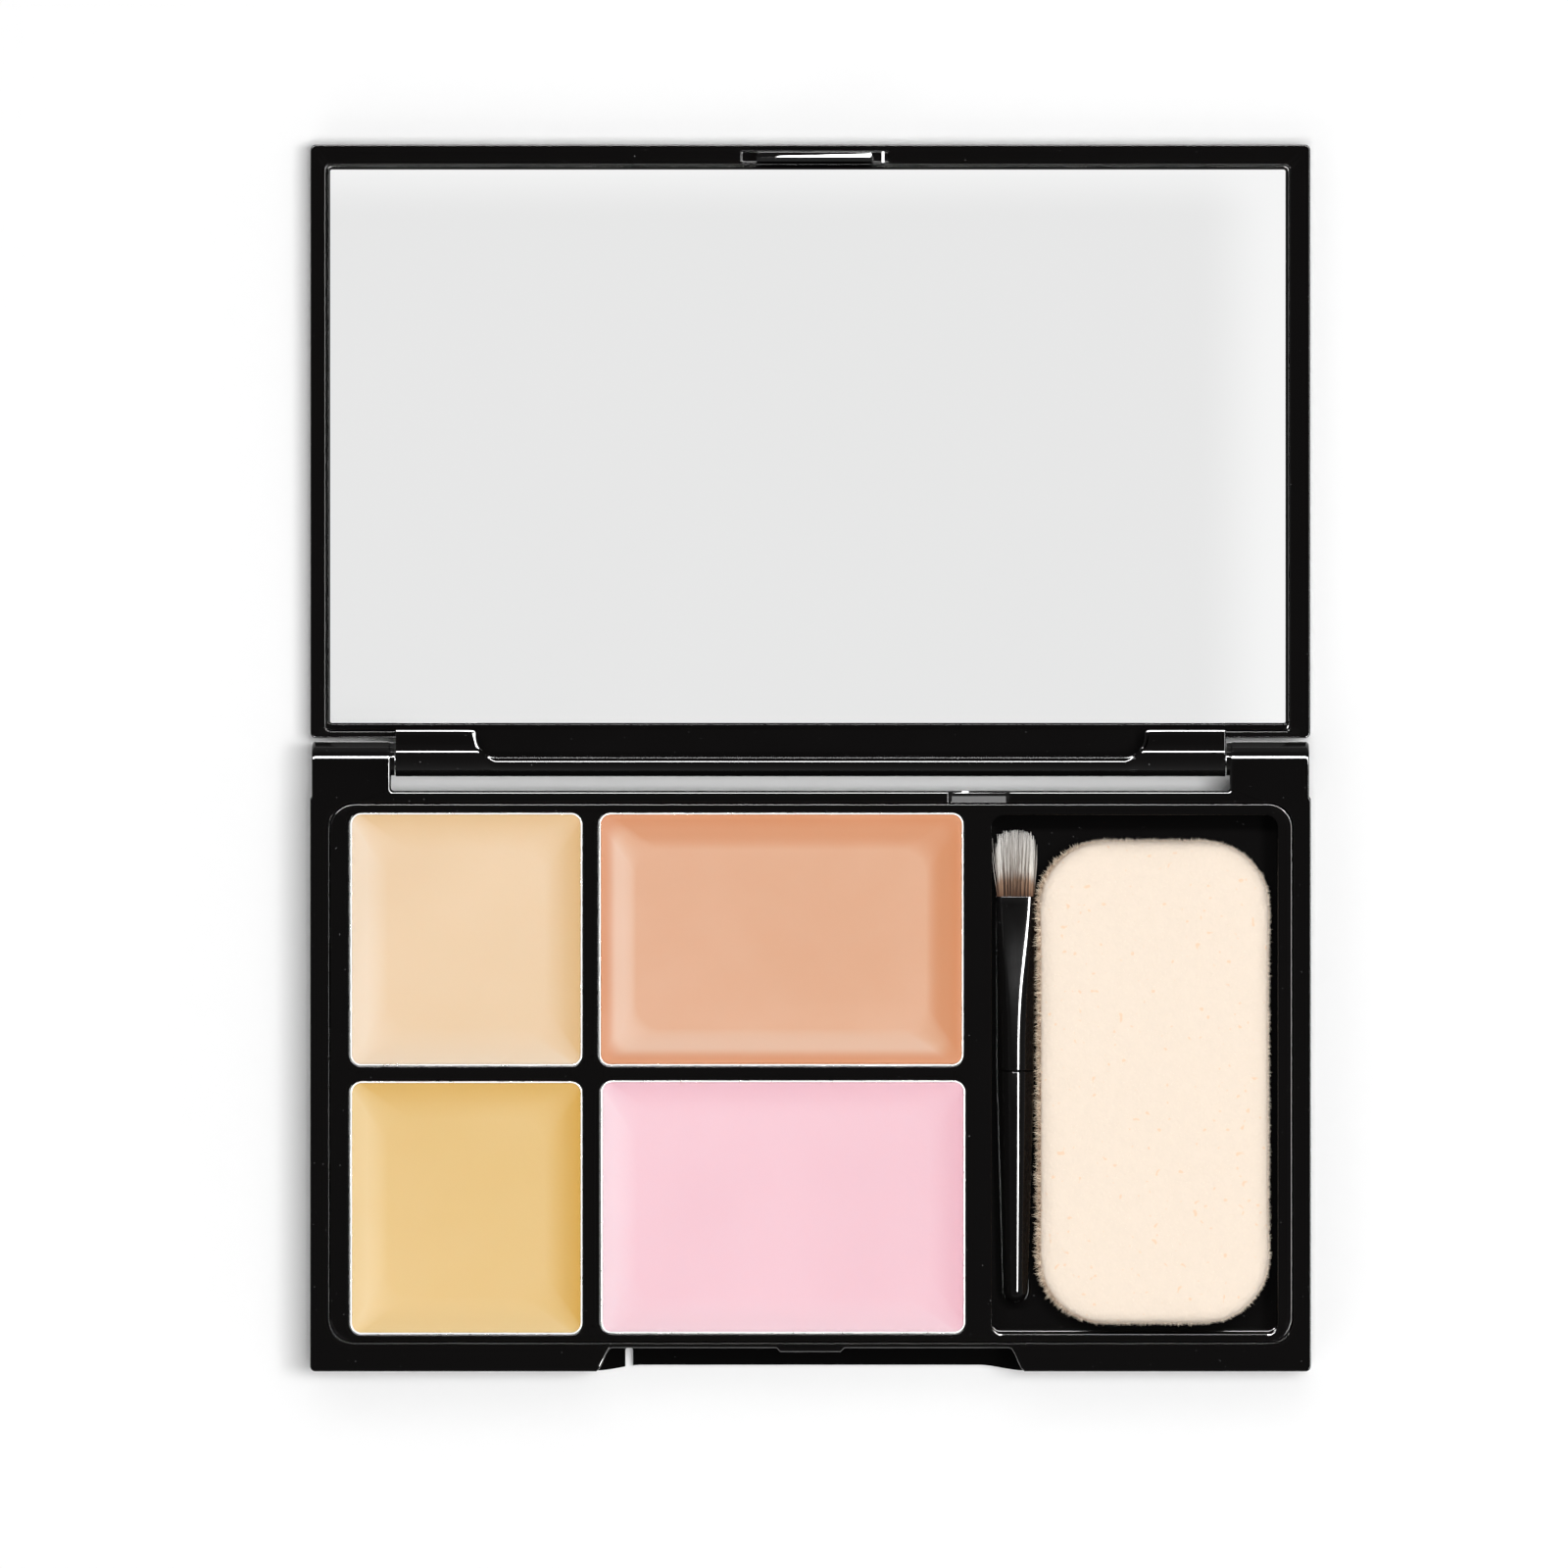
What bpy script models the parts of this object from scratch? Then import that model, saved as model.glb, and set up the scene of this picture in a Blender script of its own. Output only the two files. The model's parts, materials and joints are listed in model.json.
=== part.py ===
"""Pocket make-up compact, opened flat: a mirror lid hinged to a base that holds four cream pans, a brush and a puff.

Frame: origin at the centre of the base's underside, +X to the right, +Y from the front edge to the hinge, +Z up.
Lengths are metres. The lid lies open beside the base, with both outer faces on the plane z = 0.
"""

import math

import bmesh
import bpy
from mathutils import Matrix

MM = 0.001

# Case
CASE_WIDTH = 115.0 * MM
CASE_CORNER = 0.6 * MM
BASE_DEPTH = 66.7 * MM
BASE_HEIGHT = 9.0 * MM
BASE_FLOOR = 1.2 * MM
LID_DEPTH = 68.4 * MM
LID_FLOOR = 1.4 * MM
LID_SETBACK = 2.26 * MM  # from the hinge axis to the lid's rear edge
OUTER_EDGE = 0.5 * MM  # chamfer where sides meet the outer faces
RIM_EDGE = 0.15 * MM  # chamfer where sides meet the rims
FIT = 0.1 * MM  # clearance between neighbouring pieces
CLOSED_GAP = 0.3 * MM  # between the two rims when shut
OVERCUT = 1.0 * MM  # how far a cutter reaches past the face it opens

# Hinge
HINGE_HEIGHT = 7.0 * MM
HINGE_SETBACK = 3.67 * MM  # from the base's rear wall to the hinge axis
HINGE_RADIUS = 2.0 * MM
EAR_OUTER = 57.3 * MM
EAR_INNER = 48.2 * MM
EAR_FOOT = 2.5 * MM  # height where the ear meets the rear wall
EAR_LAP = 1.0 * MM  # how far the ear reaches into the rear wall
EAR_LOWEST_ANGLE = -50  # degrees, where the round back turns into the sloped foot
BARREL_HALF = 47.7 * MM
BARREL_LAND = 0.9 * MM  # flat top of the thick barrel ends, past the axis
BARREL_HEEL = 3.0 * MM  # from the axis to the barrel's back edge
BARREL_EDGE = 0.4 * MM
BARREL_NOSE_END = 195  # degrees, where the nose turns into the round underside
TROUGH_HALF = 38.2 * MM  # recess along the back of the barrel's middle
TROUGH_FRONT = 0.2 * MM
TROUGH_FLOOR = 5.4 * MM
TROUGH_CORNER = 2.0 * MM
PIN_RADIUS = 0.75 * MM
PIN_REACH = 8.0 * MM  # length of pin inside the barrel

# Front finger recess and catch
RECESS_HALF = 24.4 * MM
RECESS_DEPTH = 2.7 * MM
RECESS_SWEEP = 2.0 * MM  # length of each curved end
LEDGE_SWEEP = 5.0 * MM
LEDGE_HEIGHT = 1.2 * MM
LEDGE_SETBACK = 0.65 * MM
SLOT_X = -20.85 * MM
SLOT_WIDTH = 0.9 * MM
LUG_HALF = 3.9 * MM
LUG_REACH = 0.45 * MM
LUG_LOW = 7.0 * MM
NOTCH_X = 19.35 * MM  # notch in the rear wall's top, where the tray is prised out
NOTCH_HALF = 3.35 * MM
NOTCH_DEPTH = 0.8 * MM
NOTCH_LIP = 0.35 * MM  # depth on the tray's side
HOOK_X = 0.5 * MM
HOOK_HALF = 6.7 * MM
HOOK_THICKNESS = 0.8 * MM
HOOK_NOSE = 0.35 * MM
HOOK_TOP = 7.9 * MM
HOOK_INSET = 0.8 * MM  # from the lid's front edge
HOOK_POCKET_HALF = 8.5 * MM
HOOK_POCKET_WIDTH = 1.35 * MM
HOOK_POCKET_DEPTH = 0.5 * MM

# Tray
TRAY_LEFT = -55.2 * MM
TRAY_RIGHT = 55.4 * MM
TRAY_FRONT = -30.0 * MM
TRAY_REAR = 31.9 * MM
TRAY_CORNER = 2.8 * MM
TRAY_TOP = 8.6 * MM
TRAY_BOTTOM = 1.3 * MM
WELL_FLOOR = 4.1 * MM
WELL_WEB = 0.8 * MM  # plastic left under each well
BAY_LEFT = 20.8 * MM
BAY_RIGHT = 53.7 * MM
BAY_FRONT = -29.2 * MM
BAY_REAR = 30.6 * MM
BAY_FLOOR = 2.5 * MM
BAY_CORNER = 1.0 * MM

# Pans: name, left, right, front, rear, colour of the cream
PANS = (
    ("beige", -52.9, -26.2, 1.75, 30.85, (0.888, 0.662, 0.436)),
    ("peach", -24.3, 17.6, 1.75, 30.85, (0.799, 0.445, 0.287)),
    ("yellow", -52.9, -26.2, -29.1, 0.0, (0.838, 0.584, 0.246)),
    ("pink", -24.1, 17.8, -29.0, 0.1, (0.947, 0.617, 0.694)),
)
PAN_CORNER = 1.3 * MM
PAN_TOP = 8.5 * MM
PAN_BOTTOM = 4.5 * MM
PAN_WALL = 0.3 * MM
GLUE_THICKNESS = 0.2 * MM
GLUE_MARGIN = 3.0 * MM
CREAM_EDGE_DROP = 0.2 * MM
CREAM_DISH = 0.6 * MM
CREAM_SLOPE = 3.2 * MM

# Label
LABEL_X = -28.0 * MM
LABEL_SIZE = (42.0 * MM, 34.0 * MM)
LABEL_THICKNESS = 0.15 * MM

# Mirror, in its carrier inside the lid's rim
CARRIER_LEFT = -55.65 * MM
CARRIER_RIGHT = 55.05 * MM
CARRIER_REAR_RIM = 1.05 * MM
CARRIER_FRONT_RIM = 2.45 * MM
CARRIER_LIP = 0.25 * MM
CARRIER_REAR_LIP = 0.7 * MM
CARRIER_FLOOR = 0.7 * MM
CARRIER_TOP = 4.2 * MM
MIRROR_TOP = 3.9 * MM
MIRROR_THICKNESS = 1.3 * MM
TAPE_THICKNESS = 0.2 * MM
TAPE_MARGIN = 2.0 * MM

# Brush, lying along Y
BRUSH_X = 23.6 * MM
BRUSH_Z = 4.75 * MM
BRISTLE_TIP = 28.9 * MM
BRISTLE_HALF = 2.4 * MM
BRISTLE_THICKNESS = 0.85 * MM
FERRULE_MOUTH = 21.2 * MM
FERRULE_SEAM = 1.2 * MM
FERRULE_HALF = 2.2 * MM
HANDLE_END = -25.6 * MM
SEAM_RADIUS = 2.15 * MM  # the brush is thickest where ferrule and handle meet
HANDLE_RADIUS = 1.45 * MM  # near its free end
HANDLE_DOME = (20, 40, 60, 78)  # degrees, sections of the round end
# Sections of the tuft: share of its length, then shares of its full width and thickness
TUFT_SECTIONS = ((0.35, 1.0, 0.95), (0.7, 0.97, 0.85), (0.88, 0.75, 0.6), (1.0, 0.35, 0.2))

# Puff
PUFF_LEFT = 26.1 * MM
PUFF_RIGHT = 52.9 * MM
PUFF_FRONT = -28.1 * MM
PUFF_REAR = 27.9 * MM
PUFF_CORNER = 8.8 * MM
PUFF_BOTTOM = 2.8 * MM
PUFF_TOP = 8.2 * MM
VELOUR = 0.8 * MM

HINGE_Y = BASE_DEPTH / 2 + HINGE_SETBACK
LID_THICKNESS = 2 * HINGE_HEIGHT - BASE_HEIGHT - CLOSED_GAP
LID_REAR = HINGE_Y + LID_SETBACK
LID_FRONT = LID_REAR + LID_DEPTH
HALF_WIDTH = CASE_WIDTH / 2
BASE_FRONT = -BASE_DEPTH / 2
BASE_REAR = BASE_DEPTH / 2
ROUND_STEPS = 24
CORNER_STEPS = 5
EAR_STEPS = 10
NOSE_STEPS = 8
FERRULE_STEPS = 8
PUFF_STEPS = 8
SMOOTH_ANGLE = 50


# ---------------------------------------------------------------- outlines and solids

def arc(centre, radii, start, end, steps):
    """Points along an elliptical arc, angles in degrees."""
    points = []
    for i in range(steps + 1):
        angle = math.radians(start + (end - start) * i / steps)
        points.append((centre[0] + radii[0] * math.cos(angle), centre[1] + radii[1] * math.sin(angle)))
    return points


def rounded_rect(left, right, front, rear, radius, inset=0.0, steps=CORNER_STEPS):
    """Anticlockwise outline of a rectangle with round corners, moved inwards by inset."""
    left, right, front, rear = left + inset, right - inset, front + inset, rear - inset
    radius = max(radius - inset, 0.1 * MM)
    radii = (radius, radius)
    points = arc((right - radius, rear - radius), radii, 0, 90, steps)
    points += arc((left + radius, rear - radius), radii, 90, 180, steps)
    points += arc((left + radius, front + radius), radii, 180, 270, steps)
    points += arc((right - radius, front + radius), radii, 270, 360, steps)
    return points


def loft(name, rings):
    """Closed solid through rings of equal length, with flat end caps."""
    bm = bmesh.new()
    loops = [[bm.verts.new(point) for point in ring] for ring in rings]
    for lower, upper in zip(loops, loops[1:]):
        for i in range(len(lower)):
            j = (i + 1) % len(lower)
            bm.faces.new((lower[i], lower[j], upper[j], upper[i]))
    bm.faces.new(reversed(loops[0]))
    bm.faces.new(loops[-1])
    bmesh.ops.recalc_face_normals(bm, faces=bm.faces)
    mesh = bpy.data.meshes.new(name)
    bm.to_mesh(mesh)
    bm.free()
    solid = bpy.data.objects.new(name, mesh)
    bpy.context.scene.collection.objects.link(solid)
    return solid


def prism(name, outline, low, high):
    """Solid with an outline in the XY plane."""
    return loft(name, [[(x, y, z) for x, y in outline] for z in (low, high)])


def prism_x(name, profile, low, high):
    """Solid with a profile in the YZ plane, drawn along X."""
    return loft(name, [[(x, y, z) for y, z in profile] for x in (low, high)])


def slab(name, sides, radius, low, high, low_edge, high_edge):
    """Round-cornered slab with its lower and upper outer edges chamfered."""
    levels = ((low, low_edge), (low + low_edge, 0.0), (high - high_edge, 0.0), (high, high_edge))
    return loft(name, [[(x, y, z) for x, y in rounded_rect(*sides, radius, inset)] for z, inset in levels])


def tube_y(name, sections):
    """Solid through elliptical sections along Y: each is (y, half width, half height)."""
    rings = []
    for y, half_width, half_height in sections:
        outline = arc((BRUSH_X, BRUSH_Z), (half_width, half_height), 0, 360, ROUND_STEPS)[:-1]
        rings.append([(x, y, z) for x, z in outline])
    return loft(name, rings)


def rod_x(name, low, high, radius):
    """Round rod on the hinge axis."""
    return prism_x(name, arc((HINGE_Y, HINGE_HEIGHT), (radius, radius), 0, 360, ROUND_STEPS)[:-1], low, high)


def combine(target, tool, operation):
    """Adds a Boolean to target and hides the tool, which is a guide and not a piece."""
    modifier = target.modifiers.new(tool.name, "BOOLEAN")
    modifier.operation = operation
    modifier.solver = "EXACT"
    modifier.object = tool
    tool.hide_render = True
    tool.display_type = "WIRE"


def cut(target, tool):
    combine(target, tool, "DIFFERENCE")


def add(target, tool):
    combine(target, tool, "UNION")


def finish(piece, material, parent, smooth_angle=None):
    """Gives a piece its material and parent, and shades round pieces smooth."""
    piece.data.materials.append(material)
    if smooth_angle:
        piece.data.shade_smooth()
        piece.data.set_sharp_from_angle(angle=math.radians(smooth_angle))
    piece.parent = parent
    piece.matrix_parent_inverse = Matrix.Translation(-parent.location)


def axis_empty(name, location):
    empty = bpy.data.objects.new(name, None)
    empty.location = location
    bpy.context.scene.collection.objects.link(empty)
    return empty


def make_material(name, colour, roughness, metallic=0.0):
    material = bpy.data.materials.new(name)
    material.use_nodes = True
    shader = material.node_tree.nodes["Principled BSDF"]
    shader.inputs["Base Color"].default_value = (*colour, 1.0)
    shader.inputs["Roughness"].default_value = roughness
    shader.inputs["Metallic"].default_value = metallic
    return material


# ---------------------------------------------------------------- base

def recess_outline(depth, sweep):
    """Front recess seen from above: flat back, curved ends that flare to the front edge."""
    points = arc((-RECESS_HALF + sweep, BASE_FRONT), (sweep, depth), 180, 90, CORNER_STEPS)
    points += arc((RECESS_HALF - sweep, BASE_FRONT), (sweep, depth), 90, 0, CORNER_STEPS)
    points.append((RECESS_HALF, BASE_FRONT - OVERCUT))
    points.append((-RECESS_HALF, BASE_FRONT - OVERCUT))
    return points


def slot_outline():
    """Narrow slot open at the front, with a round inner end."""
    back = BASE_FRONT + RECESS_DEPTH - SLOT_WIDTH / 2
    points = arc((SLOT_X, back), (SLOT_WIDTH / 2, SLOT_WIDTH / 2), 0, 180, CORNER_STEPS)
    points.append((SLOT_X - SLOT_WIDTH / 2, BASE_FRONT - OVERCUT))
    points.append((SLOT_X + SLOT_WIDTH / 2, BASE_FRONT - OVERCUT))
    return points


def ear_profile():
    """Hinge ear: flat top level with the rim, round back, sloped foot into the rear wall."""
    inside = BASE_REAR - EAR_LAP
    points = [(inside, HINGE_HEIGHT + HINGE_RADIUS)]
    points += arc((HINGE_Y, HINGE_HEIGHT), (HINGE_RADIUS, HINGE_RADIUS), 90, EAR_LOWEST_ANGLE, EAR_STEPS)
    points.append((BASE_REAR, EAR_FOOT))
    points.append((inside, EAR_FOOT))
    return points


def notch_profile():
    """Wedge that slopes down from the tray side of the rear wall to its outer face."""
    inside, outside = TRAY_REAR, BASE_REAR + OVERCUT
    top = BASE_HEIGHT + OVERCUT
    return ((inside, top), (inside, BASE_HEIGHT - NOTCH_LIP), (outside, BASE_HEIGHT - NOTCH_DEPTH),
            (outside, top))


def base_shell(material, parent):
    sides = (-HALF_WIDTH, HALF_WIDTH, BASE_FRONT, BASE_REAR)
    shell = slab("base_shell", sides, CASE_CORNER, 0.0, BASE_HEIGHT, OUTER_EDGE, RIM_EDGE)
    for side in (-1, 1):
        ends = sorted((side * EAR_INNER, side * EAR_OUTER))
        add(shell, prism_x("ear_guide", ear_profile(), *ends))
    cavity = rounded_rect(TRAY_LEFT, TRAY_RIGHT, TRAY_FRONT, TRAY_REAR, TRAY_CORNER, -FIT)
    cut(shell, prism("cavity_guide", cavity, BASE_FLOOR, BASE_HEIGHT + OVERCUT))
    recess = recess_outline(RECESS_DEPTH, RECESS_SWEEP)
    cut(shell, prism("recess_guide", recess, LEDGE_HEIGHT, BASE_HEIGHT + OVERCUT))
    ledge = recess_outline(LEDGE_SETBACK, LEDGE_SWEEP)
    cut(shell, prism("ledge_guide", ledge, -OVERCUT, BASE_HEIGHT + OVERCUT))
    cut(shell, prism("slot_guide", slot_outline(), -OVERCUT, LEDGE_HEIGHT + OVERCUT))
    wall = BASE_FRONT + RECESS_DEPTH
    half, reach = LUG_HALF, LUG_REACH
    lug = ((-half, wall + reach / 2), (-half + reach, wall - reach), (half - reach, wall - reach),
           (half, wall + reach / 2))
    add(shell, prism("lug_guide", lug, LUG_LOW, BASE_HEIGHT - RIM_EDGE))
    cut(shell, prism_x("notch_guide", notch_profile(), NOTCH_X - NOTCH_HALF, NOTCH_X + NOTCH_HALF))
    for side in (-1, 1):
        ends = sorted((side * (EAR_INNER - OVERCUT), side * (EAR_OUTER + OVERCUT)))
        cut(shell, rod_x("ear_bore_guide", *ends, PIN_RADIUS + FIT))
    label = rounded_rect(*label_sides(), CASE_CORNER, -FIT)
    cut(shell, prism("label_guide", label, -OVERCUT, LABEL_THICKNESS + FIT))
    finish(shell, material, parent)


def label_sides():
    width, depth = LABEL_SIZE
    return (LABEL_X - width / 2, LABEL_X + width / 2, -depth / 2, depth / 2)


def underside_label(material, parent):
    """Thin label sunk in a pocket, so the case still rests on its own face."""
    label = prism("underside_label", rounded_rect(*label_sides(), CASE_CORNER), FIT / 2, LABEL_THICKNESS)
    finish(label, material, parent)


def hinge_pins(material, parent):
    for name, side in (("hinge_pin_left", -1), ("hinge_pin_right", 1)):
        ends = sorted((side * (EAR_OUTER - FIT), side * (BARREL_HALF - PIN_REACH + FIT)))
        finish(rod_x(name, *ends, PIN_RADIUS), material, parent, SMOOTH_ANGLE)


def pan_sides(pan):
    return tuple(value * MM for value in pan[1:5])


def tray_insert(material, parent):
    sides = (TRAY_LEFT, TRAY_RIGHT, TRAY_FRONT, TRAY_REAR)
    tray = slab("tray_insert", sides, TRAY_CORNER, TRAY_BOTTOM, TRAY_TOP, RIM_EDGE, RIM_EDGE)
    for pan in PANS:
        well = rounded_rect(*pan_sides(pan), PAN_CORNER, -FIT)
        cut(tray, prism("well_guide", well, WELL_FLOOR, TRAY_TOP + OVERCUT))
        hollow = rounded_rect(*pan_sides(pan), PAN_CORNER, WELL_WEB)
        cut(tray, prism("hollow_guide", hollow, TRAY_BOTTOM - OVERCUT, WELL_FLOOR - WELL_WEB))
    bay = rounded_rect(BAY_LEFT, BAY_RIGHT, BAY_FRONT, BAY_REAR, BAY_CORNER)
    cut(tray, prism("bay_guide", bay, BAY_FLOOR, TRAY_TOP + OVERCUT))
    finish(tray, material, parent)


def pan_set(pan, metal, glue, cream, parent):
    """One pan with its cream and the adhesive pad under it."""
    name, sides = pan[0], pan_sides(pan)
    shell = prism("pan_" + name, rounded_rect(*sides, PAN_CORNER), PAN_BOTTOM, PAN_TOP)
    inside = rounded_rect(*sides, PAN_CORNER, PAN_WALL)
    cut(shell, prism("pan_guide", inside, PAN_BOTTOM + PAN_WALL, PAN_TOP + OVERCUT))
    finish(shell, metal, parent)

    low = PAN_BOTTOM + PAN_WALL + FIT
    high = PAN_TOP - CREAM_EDGE_DROP
    rings = []
    for z, inset in ((low, 0.0), (high, 0.0), (high - CREAM_DISH, CREAM_SLOPE)):
        outline = rounded_rect(*sides, PAN_CORNER, PAN_WALL + FIT + inset)
        rings.append([(x, y, z) for x, y in outline])
    finish(loft("cream_" + name, rings), cream, parent)

    pad = rounded_rect(*sides, PAN_CORNER, GLUE_MARGIN)
    finish(prism("glue_" + name, pad, WELL_FLOOR + FIT, WELL_FLOOR + FIT + GLUE_THICKNESS), glue, parent)


# ---------------------------------------------------------------- lid

def barrel_profile():
    """Hinge barrel: flat top, elliptical nose over the axis, heel that drops into the lid's rear wall."""
    top = HINGE_HEIGHT + HINGE_RADIUS
    heel = HINGE_Y + BARREL_HEEL
    nose = (HINGE_Y + BARREL_LAND, HINGE_HEIGHT)
    points = [(heel, LID_FLOOR), (heel, top - BARREL_EDGE), (heel - BARREL_EDGE, top)]
    points += arc(nose, (HINGE_RADIUS + BARREL_LAND, HINGE_RADIUS), 90, 180, NOSE_STEPS)
    points += arc((HINGE_Y, HINGE_HEIGHT), (HINGE_RADIUS, HINGE_RADIUS), BARREL_NOSE_END, 270, CORNER_STEPS)
    points.append((LID_REAR, LID_FLOOR + HINGE_RADIUS))
    points.append((LID_REAR + FIT, LID_FLOOR))
    return points


def trough_outline():
    """Recess behind the middle of the barrel, round at its two front corners."""
    front, rear = HINGE_Y + TROUGH_FRONT, HINGE_Y + BARREL_HEEL + OVERCUT
    radii = (TROUGH_CORNER, TROUGH_CORNER)
    points = arc((-TROUGH_HALF + TROUGH_CORNER, front + TROUGH_CORNER), radii, 180, 270, CORNER_STEPS)
    points += arc((TROUGH_HALF - TROUGH_CORNER, front + TROUGH_CORNER), radii, 270, 360, CORNER_STEPS)
    points.append((TROUGH_HALF, rear))
    points.append((-TROUGH_HALF, rear))
    return points


def hook_profile():
    """Latch hook: upright blade with a small nose at its tip, towards the mirror."""
    outer = LID_FRONT - HOOK_INSET
    inner = outer - HOOK_THICKNESS
    nose_height = HOOK_TOP - HOOK_THICKNESS
    return ((outer, LID_FLOOR), (outer, HOOK_TOP), (inner, HOOK_TOP), (inner - HOOK_NOSE, nose_height),
            (inner, nose_height - HOOK_NOSE), (inner, LID_FLOOR))


def lid_shell(material, parent):
    sides = (-HALF_WIDTH, HALF_WIDTH, LID_REAR, LID_FRONT)
    shell = slab("lid_shell", sides, CASE_CORNER, 0.0, LID_THICKNESS, OUTER_EDGE, RIM_EDGE)
    add(shell, prism_x("barrel_guide", barrel_profile(), -BARREL_HALF, BARREL_HALF))
    cut(shell, prism("trough_guide", trough_outline(), TROUGH_FLOOR, BASE_HEIGHT + OVERCUT))
    opening = rounded_rect(*carrier_sides(), CASE_CORNER, -FIT)
    cut(shell, prism("opening_guide", opening, LID_FLOOR, BASE_HEIGHT + OVERCUT))
    pocket_rear = LID_FRONT - HOOK_INSET + FIT - HOOK_POCKET_WIDTH
    pocket = (HOOK_X - HOOK_POCKET_HALF, HOOK_X + HOOK_POCKET_HALF, pocket_rear, pocket_rear + HOOK_POCKET_WIDTH)
    pocket_outline = rounded_rect(*pocket, CASE_CORNER / 2)
    cut(shell, prism("pocket_guide", pocket_outline, LID_THICKNESS - HOOK_POCKET_DEPTH, BASE_HEIGHT + OVERCUT))
    add(shell, prism_x("hook_guide", hook_profile(), HOOK_X - HOOK_HALF, HOOK_X + HOOK_HALF))
    for side in (-1, 1):
        ends = sorted((side * (BARREL_HALF - PIN_REACH), side * (BARREL_HALF + OVERCUT)))
        cut(shell, rod_x("barrel_bore_guide", *ends, PIN_RADIUS + FIT))
    finish(shell, material, parent)


def carrier_sides():
    return (CARRIER_LEFT, CARRIER_RIGHT, LID_REAR + CARRIER_REAR_RIM, LID_FRONT - CARRIER_FRONT_RIM)


def mirror_sides():
    left, right, rear, front = carrier_sides()
    lip = CARRIER_LIP + FIT
    return (left + lip, right - lip, rear + CARRIER_REAR_LIP + FIT, front - lip)


def mirror_parts(carrier_material, tape_material, mirror_material, parent):
    """Carrier frame, adhesive sheet and mirror, stacked on the lid's floor."""
    bottom = LID_FLOOR + FIT
    carrier = prism("mirror_carrier", rounded_rect(*carrier_sides(), CASE_CORNER), bottom, CARRIER_TOP)
    seat = rounded_rect(*mirror_sides(), CASE_CORNER, -FIT)
    cut(carrier, prism("seat_guide", seat, bottom + CARRIER_FLOOR, CARRIER_TOP + OVERCUT))
    finish(carrier, carrier_material, parent)

    tape = rounded_rect(*mirror_sides(), CASE_CORNER, TAPE_MARGIN)
    tape_low = bottom + CARRIER_FLOOR + FIT / 2
    finish(prism("mirror_tape", tape, tape_low, tape_low + TAPE_THICKNESS), tape_material, parent)

    mirror = rounded_rect(*mirror_sides(), CASE_CORNER)
    glass = prism("mirror_glass", mirror, MIRROR_TOP - MIRROR_THICKNESS, MIRROR_TOP)
    finish(glass, mirror_material, parent)


# ---------------------------------------------------------------- brush and puff

def brush_parts(hair, metal, lacquer, parent):
    """Flat tuft, pressed ferrule that turns from round to flat, and a round tapered handle."""
    root = FERRULE_MOUTH + FIT
    length = BRISTLE_TIP - root
    tuft = [(root, FERRULE_HALF - FIT, BRISTLE_THICKNESS - 2 * FIT)]
    for share, width, height in TUFT_SECTIONS:
        tuft.append((root + share * length, width * BRISTLE_HALF, height * BRISTLE_THICKNESS))
    finish(tube_y("brush_bristles", tuft), hair, parent, SMOOTH_ANGLE)

    ferrule = []
    for i in range(FERRULE_STEPS + 1):
        share = i / FERRULE_STEPS
        ease = share * share * (3 - 2 * share)
        width = SEAM_RADIUS + (FERRULE_HALF - SEAM_RADIUS) * ease
        height = SEAM_RADIUS + (BRISTLE_THICKNESS - SEAM_RADIUS) * ease
        ferrule.append((FERRULE_SEAM + share * (FERRULE_MOUTH - FERRULE_SEAM), width, height))
    finish(tube_y("brush_ferrule", ferrule), metal, parent, SMOOTH_ANGLE)

    start = FERRULE_SEAM - FIT
    straight = HANDLE_END + HANDLE_RADIUS
    handle = [(start, SEAM_RADIUS, SEAM_RADIUS), (straight, HANDLE_RADIUS, HANDLE_RADIUS)]
    for degrees in HANDLE_DOME:
        angle = math.radians(degrees)
        radius = HANDLE_RADIUS * math.cos(angle)
        handle.append((straight - HANDLE_RADIUS * math.sin(angle), radius, radius))
    finish(tube_y("brush_handle", handle), lacquer, parent, SMOOTH_ANGLE)


def puff_parts(foam, velour, parent):
    """Foam core between two flocked faces."""
    outline = rounded_rect(PUFF_LEFT, PUFF_RIGHT, PUFF_FRONT, PUFF_REAR, PUFF_CORNER, steps=PUFF_STEPS)
    layers = (
        ("puff_velour_bottom", PUFF_BOTTOM, PUFF_BOTTOM + VELOUR, velour),
        ("puff_core", PUFF_BOTTOM + VELOUR + FIT, PUFF_TOP - VELOUR - FIT, foam),
        ("puff_velour_top", PUFF_TOP - VELOUR, PUFF_TOP, velour),
    )
    for name, low, high, material in layers:
        finish(prism(name, outline, low, high), material, parent)


# ---------------------------------------------------------------- assembly

def clear_scene():
    for thing in list(bpy.data.objects):
        bpy.data.objects.remove(thing, do_unlink=True)


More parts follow.
